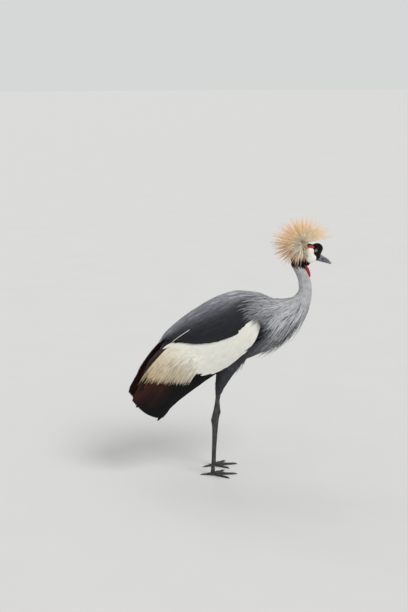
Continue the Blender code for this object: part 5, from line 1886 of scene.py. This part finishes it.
@dataclass
class Leg:
    """Shank, tarsus, foot and claws of one leg, with their plates."""

    side: Side
    scales: Material
    horn: Material

    @staticmethod
    def plated(rule: Tube, count: float, depth: float) -> Tube:
        """A limb's rule with broad plates across its front.

        Args:
            rule: The smooth limb.
            count: Plates along it.
            depth: How far a plate's lower edge stands out, as a share of the radius.
        """

        def point_of(turns: Array, shares: Array) -> Array:
            made = rule(turns, shares)
            axis = (rule(turns * 0, shares) + rule(turns * 0 + 0.5, shares)) / 2
            facing = np.cos((turns - 0.25) * 2 * math.pi)
            saw = (shares * count) % 1.0
            rise = depth * (saw**2 * step(saw, 1.0, 0.86)) * step(facing, 0.1, 0.6)
            return axis + (made - axis) * (1 + rise)[:, None]

        return point_of

    def show(self, form: BMesh | Object, kind: str, part: str, slot: str, material: Material) -> None:
        """Shows a piece of this leg in the stead of the part's node."""
        name = f"{kind}_{self.side.word}"
        piece = form if isinstance(form, Object) else object_of(form, name)
        Grove.show(piece, slot, material, f"{part}_{self.side.word}")

    def build(self) -> None:
        """Makes and shows the leg."""
        hip, knee, hock, ankle = leg_joints(self.side)
        joints = (hip, knee, hock, ankle)
        ways = [unit(end - start) for start, end in zip(joints, joints[1:])] + [np.array((0, 0, -1.0))]
        knee_cut, hock_cut, ankle_cut = (unit(above + below) for above, below in zip(ways, ways[1:]))
        for name, start, end, sizes, cuts, plates in (
            ("shank", knee + knee_cut * SEAM, hock, SHANK_SIZES, (knee_cut, hock_cut), 14),
            ("tarsus", hock + hock_cut * SEAM, ankle, TARSUS_SIZES, (hock_cut, ankle_cut), 40),
        ):
            rule = self.plated(tube_rule(straight(start, end, sizes), cuts), plates, 0.10)
            self.show(wrapped(32, plates * 9, rule), f"{name}_scales", name, "leg_scale", self.scales)
        self.foot(ankle, ankle_cut)

    def foot(self, ankle: Array, cut: Array) -> None:
        """The foot with its four toes and claws, flat on the floor."""
        origin = np.array((ankle[0], ankle[1], 0.0))
        pad = straight(ankle + cut * SEAM, origin + (0, 0, 0.0045), PAD_SIZES)
        forms = [wrapped(24, 24, tube_rule(pad, (cut, None)))]
        for name, turn, length, radius, claw in TOES:
            turn = math.radians(turn) * self.side.value
            aim = np.array((math.cos(turn), math.sin(turn), 0))
            stations = []
            for share, size in TOE_SIZES:
                high = radius * 0.86 * (size if share < 0.8 else 0.74)
                high += 0.006 * (1 - share) ** 4 * (share < 0.8)
                spot = origin + aim * length * share + (0, 0, high)
                stations.append((*spot, radius * size, radius * size))
            forms.append(wrapped(24, 110, self.plated(tube_rule(stations), 20 * length / 0.06, 0.13)))
            self.claw(name, origin + aim * (length + SEAM), aim, radius, claw)
        made = joined([grounded(form) for form in forms], f"foot_scales_{self.side.word}")
        self.show(made, "foot_scales", "foot", "leg_scale", self.scales)

    def claw(self, name: str, root: Array, aim: Array, radius: float, length: float) -> None:
        """One blunt, curved claw."""
        stations = []
        for share, size, high in CLAW_SIZES:
            spot = root + aim * length * share + (0, 0, radius * high)
            stations.append((*spot, radius * size, radius * size))
        form = grounded(wrapped(20, 24, tube_rule(stations)))
        self.show(form, f"claw_horn_{name}", f"claw_{name}", "claw_horn", self.horn)


# Studio

@dataclass(frozen=True)
class Studio:
    """Floor, lights, world and camera."""

    lens: float = 73.53
    eye: Triple = (-0.7757, -4.2431, 1.5016)
    yaw: float = math.radians(10.0)
    pitch: float = math.radians(11.7)
    sky: float = 0.68

    def place(self, data: bpy.types.ID, place: Triple, look: Vector) -> Object:
        """Puts a lamp or camera in its place, looking along a direction."""
        made = bpy.data.objects.new(data.name, data)
        made.location = place
        made.rotation_euler = look.to_track_quat("-Z", "Y").to_euler()
        bpy.context.scene.collection.objects.link(made)
        return made

    def floor(self) -> None:
        """A plain pale floor."""
        bm = bmesh.new()
        bmesh.ops.create_grid(bm, x_segments=2, y_segments=2, size=40.0)
        floor = object_of(bm, "floor")
        bpy.context.scene.collection.objects.link(floor)
        floor.data.materials.append(FloorFinish("pale_floor").build())

    def lamp(self, name: str, place: Triple, power: float, size: float, colour: Triple) -> None:
        """A soft, far lamp that shines from a place to the body."""
        data = bpy.data.lights.new(name, "SUN")
        data.energy = power
        data.angle = math.radians(size)
        data.color = colour
        self.place(data, place, -Vector(place))

    def camera(self) -> None:
        """A camera at the photograph's angle."""
        data = bpy.data.cameras.new("camera")
        data.lens = self.lens
        data.sensor_width = 36.0
        level = math.cos(self.pitch)
        look = Vector((math.sin(self.yaw) * level, math.cos(self.yaw) * level, -math.sin(self.pitch)))
        bpy.context.scene.camera = self.place(data, Vector(self.eye) + Grove.shift, look)

    def build(self) -> None:
        """Sets the studio up."""
        self.floor()
        self.lamp("key", (1.6, -2.4, 3.2), 1.6, 28.0, (1.0, 0.98, 0.95))
        self.lamp("fill", (-0.8, 2.6, 2.8), 0.45, 40.0, (1.0, 1.0, 1.0))
        world = bpy.data.worlds.new("studio")
        world.use_nodes = True
        sky = world.node_tree.nodes["Background"]
        sky.inputs[0].default_value = (0.99, 1.0, 1.0, 1)
        sky.inputs[1].default_value = self.sky
        bpy.context.scene.world = world
        bpy.context.scene.view_settings.view_transform = "Standard"
        self.camera()


def main() -> None:
    """Builds the pieces in order."""
    logging.basicConfig(level=logging.INFO, format="%(message)s")
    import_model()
    Grove.measure()
    skin = Skin()
    plumage = FeatherFinish("body_plumage", 0.7, 0.05, 0.0, 0.0, 0.22, 0.10, 0.25).build()
    velvet = FeatherFinish("black_velvet", 0.9, 0.05, 0.0, 0.0, 0.15, 0.10, 0.15).build()
    gold = FeatherFinish("gold_bristles", 0.5, 0.1, 0.0, 0.0, 0.14, 0.08).build()
    vanes = {
        "vane": FeatherFinish("slate_vanes", 0.55, 0.0, 0.35, 0.25, 0.22, 0.10, 0.25).build(),
        "silk": FeatherFinish("silky_white_coverts", 0.6, 0.1, 0.25, 0.0, 0.06, 0.03).build(),
        "hair": FeatherFinish("straw_hair", 0.6, 0.2, 0.0, 0.0, 0.18, 0.10).build(),
        "quill": FeatherFinish("flight_vanes", 0.55, 0.0, 0.5, 0.10, 0.20, 0.12, 0.12).build(),
    }
    for kind in BODY_COAT:
        kind.build(skin, plumage)
    HeadCoat(skin).build(velvet)
    for side in Side:
        Wing(side).build(vanes)
    Tail().build(vanes["quill"])
    Crest(skin).build(gold)
    Face().build()
    scales = ScaleFinish("leg_scales").build()
    claws = HornFinish("claw_horn", (0.045, 0.044, 0.044), (0.012, 0.012, 0.012)).build()
    for side in Side:
        Leg(side, scales, claws).build()
    Grove.show(skin.object, "feather_slate", SkinFinish("skin_under_plumage").build(), *skin.nodes)
    Studio().build()


if __name__ == "__main__":
    main()
